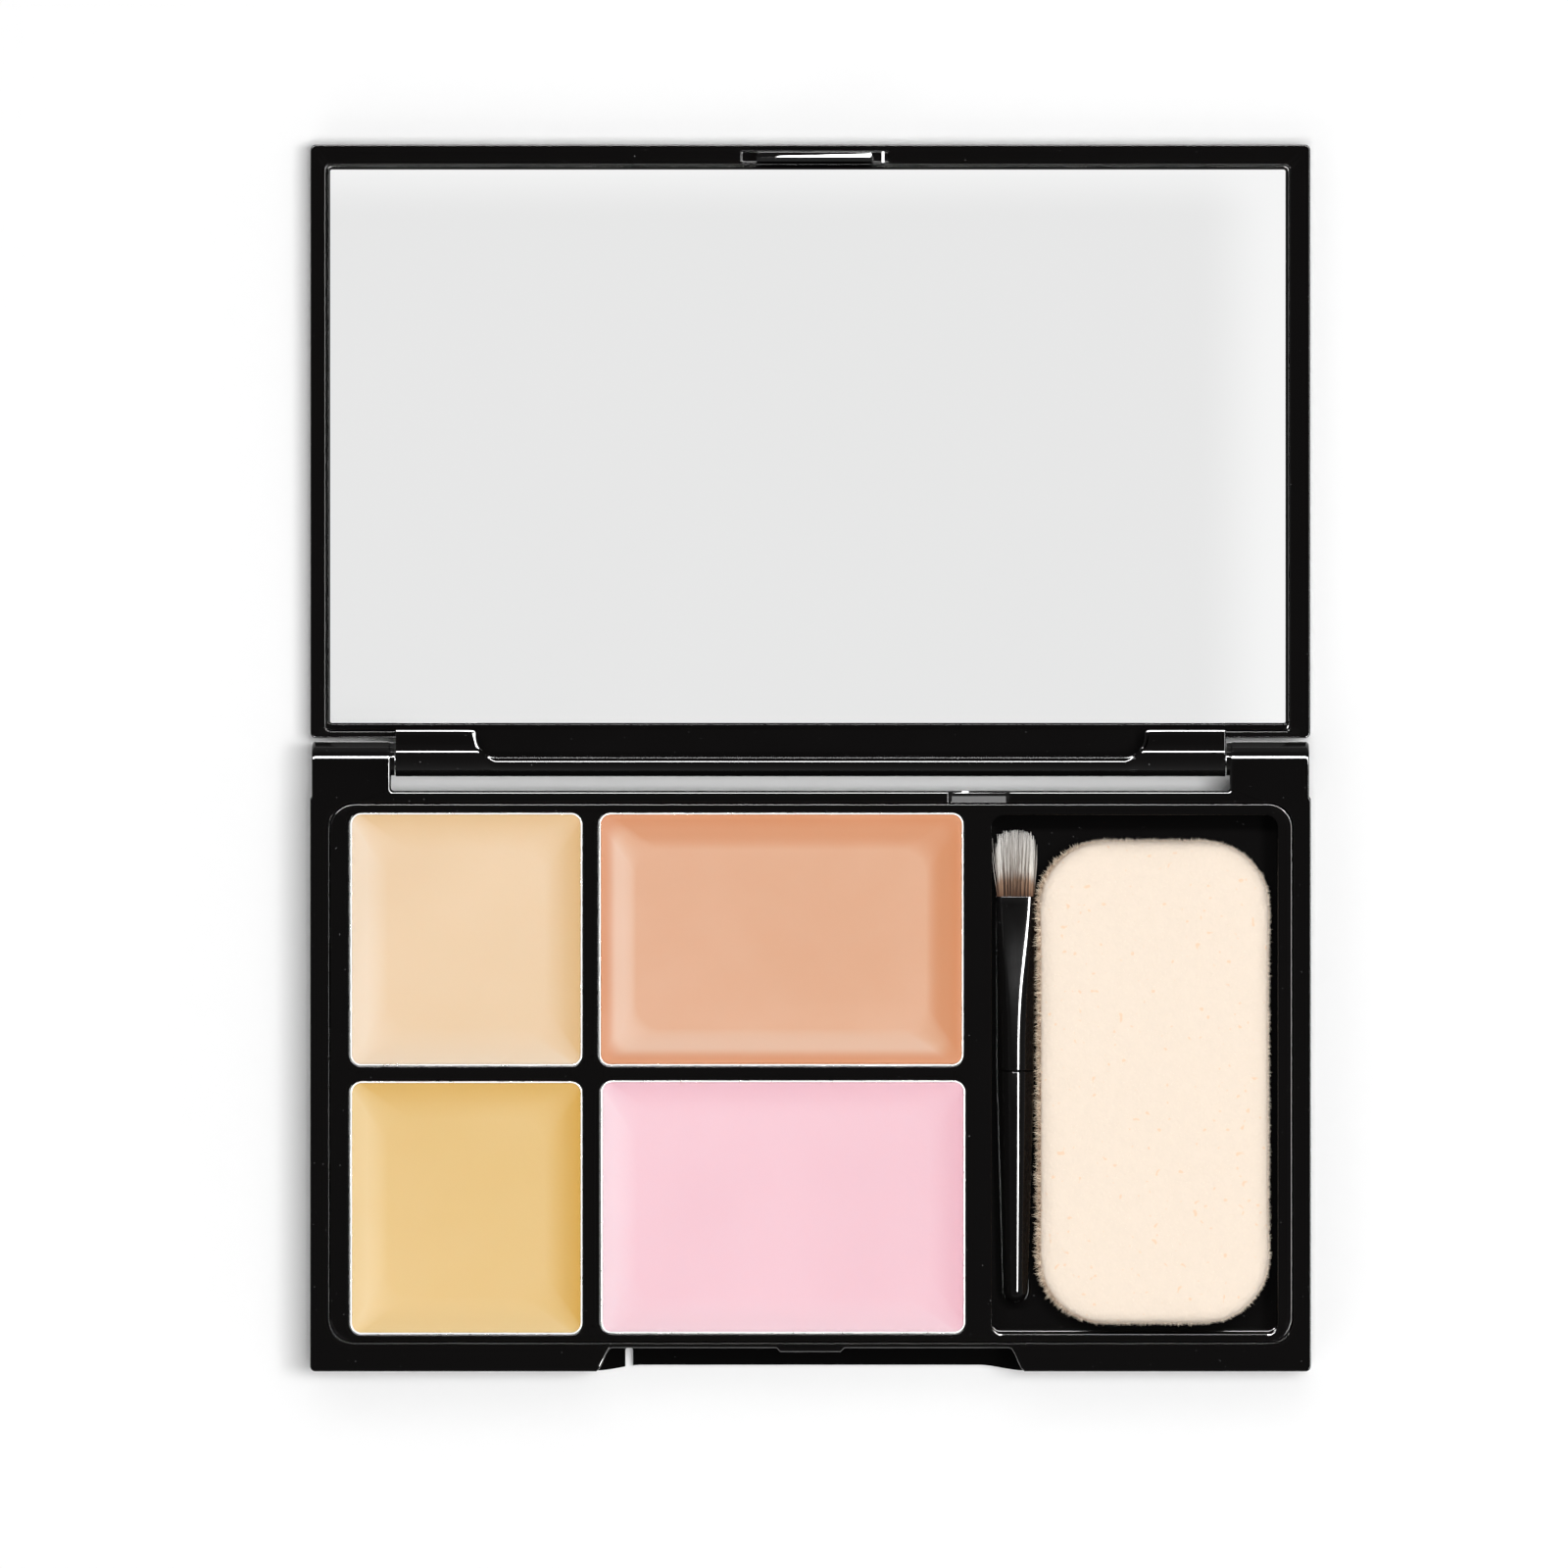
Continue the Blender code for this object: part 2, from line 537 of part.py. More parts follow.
def build():
    clear_scene()
    base = axis_empty("base_origin", (0.0, 0.0, 0.0))
    lid = axis_empty("lid_axis", (0.0, HINGE_Y, HINGE_HEIGHT))
    brush = axis_empty("brush_axis", (BRUSH_X, 0.0, BRUSH_Z))
    puff = axis_empty("puff_axis", ((PUFF_LEFT + PUFF_RIGHT) / 2, (PUFF_FRONT + PUFF_REAR) / 2, PUFF_BOTTOM))

    black = make_material("gloss_black", (0.006, 0.006, 0.007), 0.12)
    steel = make_material("steel", (0.62, 0.62, 0.64), 0.3, 1.0)
    aluminium = make_material("aluminium", (0.82, 0.82, 0.83), 0.3, 1.0)
    glue = make_material("adhesive", (0.75, 0.72, 0.62), 0.5)
    paper = make_material("label_paper", (0.8, 0.8, 0.8), 0.7)
    silver = make_material("mirror_silver", (0.9, 0.9, 0.9), 0.02, 1.0)

    base_shell(black, base)
    tray_insert(black, base)
    hinge_pins(steel, base)
    underside_label(paper, base)
    for pan in PANS:
        cream = make_material("cream_" + pan[0], pan[5], 0.55)
        pan_set(pan, aluminium, glue, cream, base)

    lid_shell(black, lid)
    mirror_parts(black, glue, silver, lid)

    hair = make_material("hair", (0.55, 0.5, 0.45), 0.6)
    brush_parts(hair, black, black, brush)

    foam = make_material("foam", (0.85, 0.72, 0.58), 0.9)
    velour = make_material("velour", (0.97, 0.84, 0.7), 0.95)
    puff_parts(foam, velour, puff)


build()
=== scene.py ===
import json
import math
import random

import bmesh
import bpy
import numpy as np
from mathutils import Matrix, Vector, noise

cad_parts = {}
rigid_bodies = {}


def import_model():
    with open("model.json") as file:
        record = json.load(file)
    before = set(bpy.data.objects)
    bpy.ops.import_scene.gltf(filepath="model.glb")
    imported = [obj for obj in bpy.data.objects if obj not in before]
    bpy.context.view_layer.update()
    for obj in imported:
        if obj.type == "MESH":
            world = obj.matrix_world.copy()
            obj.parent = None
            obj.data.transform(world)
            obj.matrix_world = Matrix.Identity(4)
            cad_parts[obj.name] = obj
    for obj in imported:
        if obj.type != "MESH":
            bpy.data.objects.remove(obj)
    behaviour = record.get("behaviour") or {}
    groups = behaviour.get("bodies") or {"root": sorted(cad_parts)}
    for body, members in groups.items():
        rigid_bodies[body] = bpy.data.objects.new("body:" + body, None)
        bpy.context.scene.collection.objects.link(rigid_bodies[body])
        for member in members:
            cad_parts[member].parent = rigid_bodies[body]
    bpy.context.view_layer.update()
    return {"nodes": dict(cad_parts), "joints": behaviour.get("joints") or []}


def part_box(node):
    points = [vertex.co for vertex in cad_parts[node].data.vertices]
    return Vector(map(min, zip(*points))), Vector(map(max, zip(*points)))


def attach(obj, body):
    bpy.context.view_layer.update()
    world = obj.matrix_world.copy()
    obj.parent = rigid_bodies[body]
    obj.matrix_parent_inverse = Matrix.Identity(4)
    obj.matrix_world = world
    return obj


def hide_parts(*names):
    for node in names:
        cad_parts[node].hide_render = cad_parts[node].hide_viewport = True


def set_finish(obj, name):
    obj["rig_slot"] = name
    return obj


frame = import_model()

# Looks of an opened make-up compact: gloss black case, mirror, four poured creams, brush and flocked puff.
# Metres, in the frame's own axes: +X right, +Y from the front edge to the hinge, +Z up.

MM = 0.001
WELD = 0.000002
X_AXIS, Y_AXIS, Z_AXIS = 0, 1, 2
SMOOTH_ANGLE = math.radians(35)
FLAT_MARK = "__mod_weightednormals_faceweight"
STRONG_FACE = 16384

HINGE = next(joint for joint in frame["joints"] if joint["name"] == "lid_hinge")
HINGE_Y, HINGE_Z = HINGE["pos_m"][1], HINGE["pos_m"][2]

# Base
BASE_LOW, BASE_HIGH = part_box("base_shell")
HALF_WIDTH = BASE_HIGH.x
BASE_FRONT = BASE_LOW.y
BASE_REAR = -BASE_FRONT
BASE_TOP = BASE_HIGH.z
HINGE_RADIUS = BASE_TOP - HINGE_Z
EAR_INNER = 48.2 * MM
EAR_INDENT = 0.2 * MM
BOSS_RADIUS = 1.9 * MM
BOSS_STEPS = 48
EAR_FOOT = 2.5 * MM
EAR_CORNER = 0.4 * MM
EAR_LOWEST_ANGLE = -50
CASE_CORNER = 0.6 * MM
OUTER_FILLET = 0.5 * MM
BASE_RIM_FILLET = 0.3 * MM
SIDE_SHARE = 0.35
BASE_FLOOR = 1.2 * MM
CAVITY_FILLET = 0.04 * MM
FIT = 0.1 * MM
PIN_LOW, PIN_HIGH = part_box("hinge_pin_right")
BORE_RADIUS = (PIN_HIGH.z - PIN_LOW.z) / 2 + FIT

RECESS_HALF = 24.6 * MM
RECESS_DEPTH = 2.7 * MM
RECESS_SWEEP = 1.7 * MM
LEDGE_DEPTH = 0.65 * MM
LEDGE_SWEEP = 5.2 * MM
LEDGE_HEIGHT = 1.2 * MM
LEDGE_FILLET = 0.15 * MM
SLOT_X = -20.85 * MM
SLOT_HALF = 0.45 * MM
LUG_HALF = 3.9 * MM
LUG_REACH = 0.45 * MM
LUG_LOW = 7.0 * MM
NOTCH_X = 19.35 * MM
NOTCH_HALF = 3.35 * MM
NOTCH_SIDE = 0.5 * MM
NOTCH_LIP = 0.1 * MM
NOTCH_SLOPE = 25

# Fall of the gentle bevels along some edges, per unit of width
BEVEL_FALL = 0.14

# Lid
LID_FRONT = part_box("lid_shell")[1].y
LID_DEPTH = 68.25 * MM
LID_REAR = LID_FRONT - LID_DEPTH
CLOSED_GAP = 0.3 * MM
LID_TOP = 2 * HINGE_Z - BASE_TOP - CLOSED_GAP
LID_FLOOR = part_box("mirror_carrier")[0].z - FIT
LID_RIM_FILLET = 0.12 * MM
OPENING_FILLET = 0.1 * MM
GLASS_CORNER = 0.2 * MM
GLASS_BEVEL = 0.05 * MM
BARREL_HALF = 47.7 * MM
BARREL_HEEL = 3.4 * MM
BARREL_LAND = 1.25 * MM
BARREL_EDGE = 0.12 * MM
BARREL_BEVEL = 0.3 * MM
BARREL_FOOT = 0.5 * MM
TROUGH_LAND = 0.2 * MM
TROUGH_BEVEL = 0.02 * MM
TROUGH_HALF = 38.4 * MM
TROUGH_FRONT = 0.25 * MM
TROUGH_FLOOR = 5.4 * MM
TROUGH_CORNER = 2.3 * MM
BLOCK_CORNER = 0.5 * MM
HOOK_X = 0.5 * MM
HOOK_HALF = 6.7 * MM
HOOK_THICKNESS = 0.8 * MM
HOOK_NOSE = 0.35 * MM
HOOK_TOP = 7.9 * MM
HOOK_EDGE = 0.12 * MM
HOOK_BEVEL = (0.26 * MM, 0.36 * MM)
HOOK_ENDS = ((0.0, 0.18), (0.05, 0.07), (0.1, 0.05), (0.44, 0.0))
RIB_X = 8.35 * MM
RIB_HALF = 0.13 * MM
HOOK_INSET = 0.8 * MM
POCKET_HALF = 8.5 * MM
POCKET_WIDTH = 1.35 * MM
POCKET_DEPTH = 0.5 * MM
POCKET_CORNER = 0.35 * MM
POCKET_MOUTH_FILLET = 0.05 * MM
POCKET_FLOOR_FILLET = 0.12 * MM
CARRIER_FLOOR = 0.7 * MM
CARRIER_FILLET = 0.05 * MM

# Tray
TRAY_LOW, TRAY_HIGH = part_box("tray_insert")
TRAY_CORNER = 2.8 * MM
TRAY_FILLET = 0.16 * MM
TRAY_FOOT_FILLET = 0.15 * MM

# Rear notch: wall between rim fillet and tray, and the depth its slope reaches
NOTCH_WALL = BASE_REAR - BASE_RIM_FILLET - TRAY_HIGH.y - FIT
NOTCH_DEPTH = NOTCH_LIP + NOTCH_WALL * math.tan(math.radians(NOTCH_SLOPE))

# Tray wells, bay and pans
WELL_FLOOR = 4.1 * MM
WELL_FILLET = 0.12 * MM
BAY = (20.8 * MM, 53.7 * MM, -29.05 * MM, 30.6 * MM)
BAY_FLOOR = 2.5 * MM
BAY_CORNER = 1.2 * MM
BAY_FLOOR_FILLET = 0.28 * MM
BAY_EDGE = 0.06 * MM
BAY_BEVEL = 0.3 * MM
BAY_SIDE_SHARE = 0.1
PAN_CORNER = 1.3 * MM
PAN_WALL = 0.22 * MM
PAN_FOOT_FILLET = 0.4 * MM
PAN_FLOOR_FILLET = 0.3 * MM


# ---------------------------------------------------------------- mesh tools

def arc(centre, radius, start, end, steps):
    """Points along a circular arc, angles in degrees."""
    points = []
    for i in range(steps + 1):
        angle = math.radians(start + (end - start) * i / steps)
        points.append((centre[0] + radius * math.cos(angle), centre[1] + radius * math.sin(angle)))
    return points


def rounded_rect(sides, radius, inset=0.0, steps=8):
    """Anticlockwise outline of a rectangle with round corners, moved inwards by inset."""
    left, right, front, rear = sides
    left, right, front, rear = left + inset, right - inset, front + inset, rear - inset
    radius = max(radius, 0.05 * MM)
    points = arc((right - radius, rear - radius), radius, 0, 90, steps)
    points += arc((left + radius, rear - radius), radius, 90, 180, steps)
    points += arc((left + radius, front + radius), radius, 180, 270, steps)
    points += arc((right - radius, front + radius), radius, 270, 360, steps)
    return points


def rect_ring(sides, radius, inset, z):
    """A rounded rectangle at height z whose corner radius shrinks as it moves inwards."""
    return [(x, y, z) for x, y in rounded_rect(sides, radius - inset, inset)]


def fillet_steps(radius, steps=5):
    """Pairs of (distance from the face, inset from the side) round a quarter fillet, face first."""
    pairs = []
    for i in range(steps + 1):
        angle = math.pi / 2 * i / steps
        pairs.append((radius * (1 - math.cos(angle)), radius * (1 - math.sin(angle))))
    return pairs


def bevel_steps(radius, width):
    """Like fillet_steps, with a gently falling strip before the fillet."""
    fall = width * BEVEL_FALL
    return [(0.0, radius + width)] + [(fall + drop, inset) for drop, inset in fillet_steps(radius, 4)]


def smooth_step(t):
    t = min(max(t, 0.0), 1.0)
    return t * t * (3 - 2 * t)


def slab_rings(sides, corner, low, high, low_fillet, high_fillet):
    """Rings of a slab with rounded edges, from low to high; the fillets are lists of fillet steps."""
    rings = [rect_ring(sides, corner, inset, low + rise) for rise, inset in low_fillet]
    return rings + [rect_ring(sides, corner, inset, high - drop) for drop, inset in reversed(high_fillet)]


def node_sides(name):
    """Left, right, front and rear of a CAD node."""
    low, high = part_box(name)
    return (low.x, high.x, low.y, high.y)


def grown(sides, gap):
    """The same rectangle with every side moved outwards by gap."""
    left, right, front, rear = sides
    return (left - gap, right + gap, front - gap, rear + gap)


def skin(bm, rings):
    """Joins neighbouring rings of equal length with faces."""
    loops = [[bm.verts.new(point) for point in ring] for ring in rings]
    for lower, upper in zip(loops, loops[1:]):
        for i in range(len(lower)):
            j = (i + 1) % len(lower)
            bm.faces.new((lower[i], lower[j], upper[j], upper[i]))
    return loops


def weld(bm):
    bmesh.ops.remove_doubles(bm, verts=bm.verts, dist=WELD)
    bmesh.ops.dissolve_degenerate(bm, dist=WELD, edges=bm.edges)


def cap(bm, axis, level):
    """Fills every opening that lies in the plane where that coordinate equals level; the fill shades flat."""
    mark = bm.faces.layers.int.get(FLAT_MARK) or bm.faces.layers.int.new(FLAT_MARK)
    edges = []
    for edge in bm.edges:
        flat = all(abs(vert.co[axis] - level) < WELD for vert in edge.verts)
        if flat and len(edge.link_faces) == 1:
            edges.append(edge)
    filled = bmesh.ops.triangle_fill(bm, use_beauty=True, edges=edges)["geom"]
    for face in filled:
        if isinstance(face, bmesh.types.BMFace):
            face[mark] = STRONG_FACE


def make_object(name, bm, smooth_angle=SMOOTH_ANGLE):
    """Turns the mesh being built into an object shaded smooth, with creases past smooth_angle."""
    bmesh.ops.recalc_face_normals(bm, faces=bm.faces)
    mesh = bpy.data.meshes.new(name)
    bm.to_mesh(mesh)
    bm.free()
    mesh.shade_smooth()
    mesh.set_sharp_from_angle(angle=smooth_angle)
    piece = bpy.data.objects.new(name, mesh)
    bpy.context.scene.collection.objects.link(piece)
    return piece


def closed_object(name, bm, axis, levels):
    """Welds the mesh, fills its openings at those levels and makes it an object."""
    weld(bm)
    for level in levels:
        cap(bm, axis, level)
    return make_object(name, bm)


def flatten_shading(piece):
    """Keeps large flat faces flat beside their fillets."""
    modifier = piece.modifiers.new("weighted_normals", "WEIGHTED_NORMAL")
    modifier.keep_sharp = True
    modifier.use_face_influence = True


def boolean(piece, tool, operation):
    """Applies a Boolean with a tool object, which is then removed."""
    modifier = piece.modifiers.new("boolean", "BOOLEAN")
    modifier.operation = operation
    modifier.solver = "EXACT"
    modifier.object = tool
    dressed = piece.evaluated_get(bpy.context.evaluated_depsgraph_get())
    mesh = bpy.data.meshes.new_from_object(dressed)
    piece.modifiers.clear()
    piece.data = mesh
    bpy.data.objects.remove(tool)
    mesh.shade_smooth()
    mesh.set_sharp_from_angle(angle=SMOOTH_ANGLE)


def rod_x(name, low, high, radius, steps=32):
    """Round rod on the hinge axis."""
    bm = bmesh.new()
    circle = arc((HINGE_Y, HINGE_Z), radius, 0, 360, steps)[:-1]
    skin(bm, [[(x, y, z) for y, z in circle] for x in (low, high)])
    cap(bm, X_AXIS, low)
    cap(bm, X_AXIS, high)
    return make_object(name, bm)


def flat_sheet(name, corners, z):
    """One level face."""
    bm = bmesh.new()
    bm.faces.new([bm.verts.new((x, y, z)) for x, y in corners])
    return make_object(name, bm)


def place(piece, body, material, slot, *nodes):
    """Gives a piece its material, its body and its slot, and hides the CAD nodes that it stands for."""
    piece.data.materials.clear()
    piece.data.materials.append(material)
    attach(piece, body)
    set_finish(piece, slot)
    if nodes:
        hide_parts(*nodes)


# ---------------------------------------------------------------- materials

class Shader:
    """A Principled material whose nodes are added one call at a time."""

    def __init__(self, name, colour, roughness, metallic=0.0):
        self.material = bpy.data.materials.new(name)
        self.material.use_nodes = True
        self.nodes = self.material.node_tree.nodes
        self.principled = self.nodes["Principled BSDF"]
        self.set("Base Color", (*colour, 1.0))
        self.set("Roughness", roughness)
        self.set("Metallic", metallic)
        self.place = self.nodes.new("ShaderNodeTexCoord").outputs["Object"]

    def set(self, name, value):
        self.principled.inputs[name].default_value = value

    def join(self, output, target):
        self.material.node_tree.links.new(output, target)

    def feed(self, name, output):
        self.join(output, self.principled.inputs[name])

    def noise(self, scale, detail=3.0, stretch=None):
        """Noise value; scale counts features per metre, stretch squeezes the axes."""
        node = self.nodes.new("ShaderNodeTexNoise")
        node.inputs["Scale"].default_value = scale
        node.inputs["Detail"].default_value = detail
        source = self.place
        if stretch:
            mapping = self.nodes.new("ShaderNodeMapping")
            mapping.inputs["Scale"].default_value = stretch
            self.join(source, mapping.inputs["Vector"])
            source = mapping.outputs["Vector"]
        self.join(source, node.inputs["Vector"])
        return node.outputs["Fac"]

    def ramp(self, output, stops):
        """Maps a value to colours: stops are (position, colour)."""
        node = self.nodes.new("ShaderNodeValToRGB")
        for i, (position, colour) in enumerate(stops):
            if i < len(node.color_ramp.elements):
                element = node.color_ramp.elements[i]
                element.position = position
            else:
                element = node.color_ramp.elements.new(position)
            element.color = (*colour, 1.0)
        self.join(output, node.inputs["Fac"])
        return node.outputs["Color"]

    def levels(self, output, low, high, to_low, to_high):
        """Stretches a value from one range to another."""
        node = self.nodes.new("ShaderNodeMapRange")
        values = (("From Min", low), ("From Max", high), ("To Min", to_low), ("To Max", to_high))
        for name, value in values:
            node.inputs[name].default_value = value
        self.join(output, node.inputs["Value"])
        return node.outputs["Result"]

    def mix(self, factor, first, second):
        """Colour mix; factor, first and second are outputs or constants."""
        node = self.nodes.new("ShaderNodeMix")
        node.data_type = "RGBA"
        sockets = (node.inputs[0], node.inputs[6], node.inputs[7])
        for socket, value in zip(sockets, (factor, first, second)):
            if isinstance(value, bpy.types.NodeSocket):
                self.join(value, socket)
            elif isinstance(value, tuple):
                socket.default_value = (*value, 1.0)
            else:
                socket.default_value = value
        return node.outputs[2]

    def bump(self, output, height, after=None):
        """Bump from a value of 0 to 1; height is in metres."""
        node = self.nodes.new("ShaderNodeBump")
        node.inputs["Strength"].default_value = 1.0
        node.inputs["Distance"].default_value = height
        self.join(output, node.inputs["Height"])
        if after:
            self.join(after, node.inputs["Normal"])
        self.feed("Normal", node.outputs["Normal"])
        return node.outputs["Normal"]

    def combine(self, first, second, share):
        """First output plus a share of the second."""
        node = self.nodes.new("ShaderNodeMath")
        node.operation = "MULTIPLY_ADD"
        node.inputs[1].default_value = share
        self.join(second, node.inputs[0])
        self.join(first, node.inputs[2])
        return node.outputs["Value"]

    def product(self, first, second):
        node = self.nodes.new("ShaderNodeMath")
        node.operation = "MULTIPLY"
        self.join(first, node.inputs[0])
        self.join(second, node.inputs[1])
        return node.outputs["Value"]

    def attribute(self, name):
        node = self.nodes.new("ShaderNodeAttribute")
        node.attribute_name = name
        return node.outputs["Fac"]

    def facing(self, axis):
        """How far the surface faces along +X, +Y or +Z, from -1 to 1."""
        geometry = self.nodes.new("ShaderNodeNewGeometry")
        split = self.nodes.new("ShaderNodeSeparateXYZ")
        self.join(geometry.outputs["Normal"], split.inputs["Vector"])
        return split.outputs[axis]


def gloss_black(name, roughness):
    """Moulded and polished black plastic: faint ripple, handling haze and a few dust specks."""
    black = (0.0012, 0.0011, 0.0011)
    shader = Shader(name, black, roughness)
    haze = shader.noise(160, 4)
    shader.feed("Roughness", shader.levels(haze, 0.35, 0.7, roughness, roughness * 1.5))
    dust = shader.noise(2600, 1)
    speck = shader.levels(dust, 0.79, 0.83, 0.0, 1.0)
    shader.feed("Base Color", shader.mix(speck, black, (0.03, 0.03, 0.03)))
    ripple = shader.noise(55, 1)
    shader.bump(ripple, 0.00002)
    return shader.material


def cream_material(name, colour, deep, light, front_share):
    """Soft sheen and faint mottling; deep is painted shade on slopes turned away from the light and light is
    painted light on slopes turned towards it, and deep also tints the raised border.
    """
    shader = Shader(name, colour, 0.42)
    mottle = shader.noise(220, 4)
    blotch = shader.noise(60, 2)
    shade = shader.levels(mottle, 0.3, 0.7, 0.0, 0.06)
    base = shader.mix(shade, colour, deep)
    # Painted shade and painted light: slopes turned to the left or front take the deep colour, slopes turned
    # to the right or rear take the light colour.
    turn = shader.combine(shader.facing("X"), shader.facing("Y"), front_share)
    base = shader.mix(shader.levels(turn, -0.29, 0.0, 1.0, 0.0), base, deep)
    base = shader.mix(shader.levels(turn, 0.0, 0.16, 0.0, 1.0), base, light)
    shore = shader.levels(shader.attribute("shore"), 0.0, 1.0, 0.0, 0.72)
    base = shader.mix(shore, base, deep)
    shader.feed("Base Color", base)
    shader.feed("Roughness", shader.levels(blotch, 0.3, 0.7, 0.38, 0.5))
    shader.set("Specular IOR Level", 0.25)
    shader.set("Subsurface Weight", 0.15)
    shader.set("Subsurface Radius", (0.0008, 0.0005, 0.0004))
    shader.set("Subsurface Scale", 1.0)
    fine = shader.bump(shader.noise(2400, 3), 0.000006)
    shader.bump(shader.noise(260, 2), 0.00003, fine)
    return shader.material


def aluminium():
    """Pressed aluminium with fine drawing lines and a duller haze."""
    shader = Shader("pan_aluminium", (0.9, 0.89, 0.87), 0.28, 1.0)
    lines = shader.noise(900, 2, (1.0, 1.0, 12.0))
    shader.feed("Roughness", shader.levels(lines, 0.3, 0.7, 0.22, 0.42))
    shader.bump(lines, 0.000008)
    return shader.material


def steel():
    shader = Shader("pin_steel", (0.6, 0.6, 0.62), 0.3, 1.0)
    turned = shader.noise(1500, 2, (8.0, 1.0, 1.0))
    shader.feed("Roughness", shader.levels(turned, 0.3, 0.7, 0.2, 0.4))
    shader.bump(turned, 0.00001)
    return shader.material


def mirror_silver():
    """Float glass silvered on its back, with a trace of wiping haze."""
    shader = Shader("mirror_silver", (0.97, 0.97, 0.97), 0.0, 1.0)
    haze = shader.noise(45, 3)
    shader.feed("Roughness", shader.levels(haze, 0.4, 0.8, 0.0, 0.03))
    tint = shader.noise(20, 1)
    shader.feed("Base Color", shader.mix(tint, (0.97, 0.97, 0.97), (0.955, 0.96, 0.958)))
    return shader.material


def adhesive():
    shader = Shader("adhesive", (0.75, 0.72, 0.62), 0.5)
    mottle = shader.noise(500, 3)
    shader.feed("Base Color", shader.mix(mottle, (0.7, 0.66, 0.55), (0.82, 0.8, 0.72)))
    shader.bump(mottle, 0.00004)
    return shader.material


def label_paper():
    """Uncoated white label stock with faint fibres."""
    shader = Shader("label_paper", (0.8, 0.8, 0.78), 0.7)
    fibres = shader.noise(1800, 4, (1.0, 0.2, 1.0))
    shader.feed("Base Color", shader.mix(fibres, (0.74, 0.74, 0.71), (0.84, 0.84, 0.82)))
    shader.bump(fibres, 0.00001)
    return shader.material


# Hair colours from root to tip: share of the length, colour
# The darker ramp is partly darker hair and partly painted shade: hairs with a low tone stand for the gaps
# where clumps part.
DARK_HAIR_AND_GAP_SHADE = (
    (0.16, (0.03, 0.013, 0.007)),
    (0.38, (0.08, 0.045, 0.03)),
    (0.6, (0.27, 0.23, 0.20)),
    (1.0, (0.38, 0.35, 0.32)),
)
PALE_HAIR = (
    (0.16, (0.20, 0.10, 0.055)),
    (0.38, (0.42, 0.27, 0.18)),
    (0.52, (0.84, 0.80, 0.74)),
    (1.0, (0.92, 0.90, 0.87)),
)


def hair_material():
    """White-tipped brush hair, brown near the ferrule, each hair a little different; low-tone hairs are
    darker, partly their own colour and partly painted shade in the gaps between clumps.
    """
    shader = Shader("brush_hair", (0.6, 0.55, 0.5), 0.45)
    along = shader.attribute("along")
    tone = shader.attribute("tone")
    dark_hair_and_gap_shade = shader.ramp(along, DARK_HAIR_AND_GAP_SHADE)
    pale = shader.ramp(along, PALE_HAIR)
    shader.feed("Base Color", shader.mix(tone, dark_hair_and_gap_shade, pale))
    shader.bump(shader.noise(3000, 2, (1.0, 0.1, 1.0)), 0.00001)
    return shader.material


def flock_material(name, colour, shadow):
    """Flocked foam: pale top, with painted shade making the sides darker and browner, most on the left, away
    from the light, and scattered specks.
    """
    shader = Shader(name, colour, 0.95)
    mottle = shader.noise(900, 5)
    base = shader.mix(shader.levels(mottle, 0.3, 0.7, 0.0, 0.35), colour, tuple(c * 0.93 for c in colour))
    # Painted shade: steep sides take the shadow colour, fully on the left and little on the right.
    side = shader.levels(shader.facing("Z"), 0.15, 0.7, 1.0, 0.0)
    side = shader.product(side, shader.levels(shader.facing("X"), -0.8, 0.2, 1.0, 0.15))
    base = shader.mix(side, base, shadow)
    specks = shader.levels(shader.noise(1500, 0), 0.76, 0.82, 0.0, 0.55)
    base = shader.mix(specks, base, (0.85, 0.55, 0.32))
    shader.feed("Base Color", base)
    shader.set("Sheen Weight", 0.5)
    shader.set("Sheen Roughness", 0.5)
    shader.set("Specular IOR Level", 0.1)
    deep = shader.bump(shader.noise(2200, 4), 0.00012)
    shader.bump(shader.noise(500, 3), 0.00012, deep)
    return shader.material


def fibre_material():
    shader = Shader("puff_fibre", (0.97, 0.86, 0.74), 0.9)
    tone = shader.attribute("tone")
    side = shader.attribute("side")
    # Painted shade: fibres on the sides, most on the left, mix towards the browner colour as if in shadow.
    pale = shader.mix(tone, (0.78, 0.66, 0.53), (0.92, 0.82, 0.70))
    shade_brown = shader.mix(tone, (0.33, 0.15, 0.06), (1.0, 0.85, 0.66))
    shader.feed("Base Color", shader.mix(side, pale, shade_brown))
    shader.set("Specular IOR Level", 0.1)
    shader.bump(shader.noise(4000, 1), 0.00001)
    return shader.material


# ---------------------------------------------------------------- base shell

def edge_inset(z, low, high, low_fillet, high_fillet):
    """How far a side with rounded edges stands in at height z."""
    for gap, radius in ((z - low, low_fillet), (high - z, high_fillet)):
        if gap < radius:
            return radius - math.sqrt(max(radius * radius - (radius - gap) ** 2, 0.0))
    return 0.0


def ear_reach(z):
    """How far the hinge ears stand behind the rear wall at height z."""
    angle = math.radians(EAR_LOWEST_ANGLE)
    lowest = HINGE_Z + HINGE_RADIUS * math.sin(angle)
    furthest = HINGE_Y + HINGE_RADIUS * math.cos(angle) - BASE_REAR
    if z <= lowest:
        return furthest * max(z - EAR_FOOT, 0.0) / (lowest - EAR_FOOT)
    rise = (z - HINGE_Z) / HINGE_RADIUS
    return HINGE_Y - BASE_REAR + HINGE_RADIUS * math.sqrt(max(1 - rise * rise, 0.0))


def recess_depth(x, z):
    """Depth of the front finger recess: shallow at the ledge, full above it."""
    if z < LEDGE_HEIGHT:
        depth, sweep = LEDGE_DEPTH, LEDGE_SWEEP
    else:
        depth, sweep = RECESS_DEPTH, RECESS_SWEEP
    return depth * smooth_step((RECESS_HALF - abs(x)) / sweep)


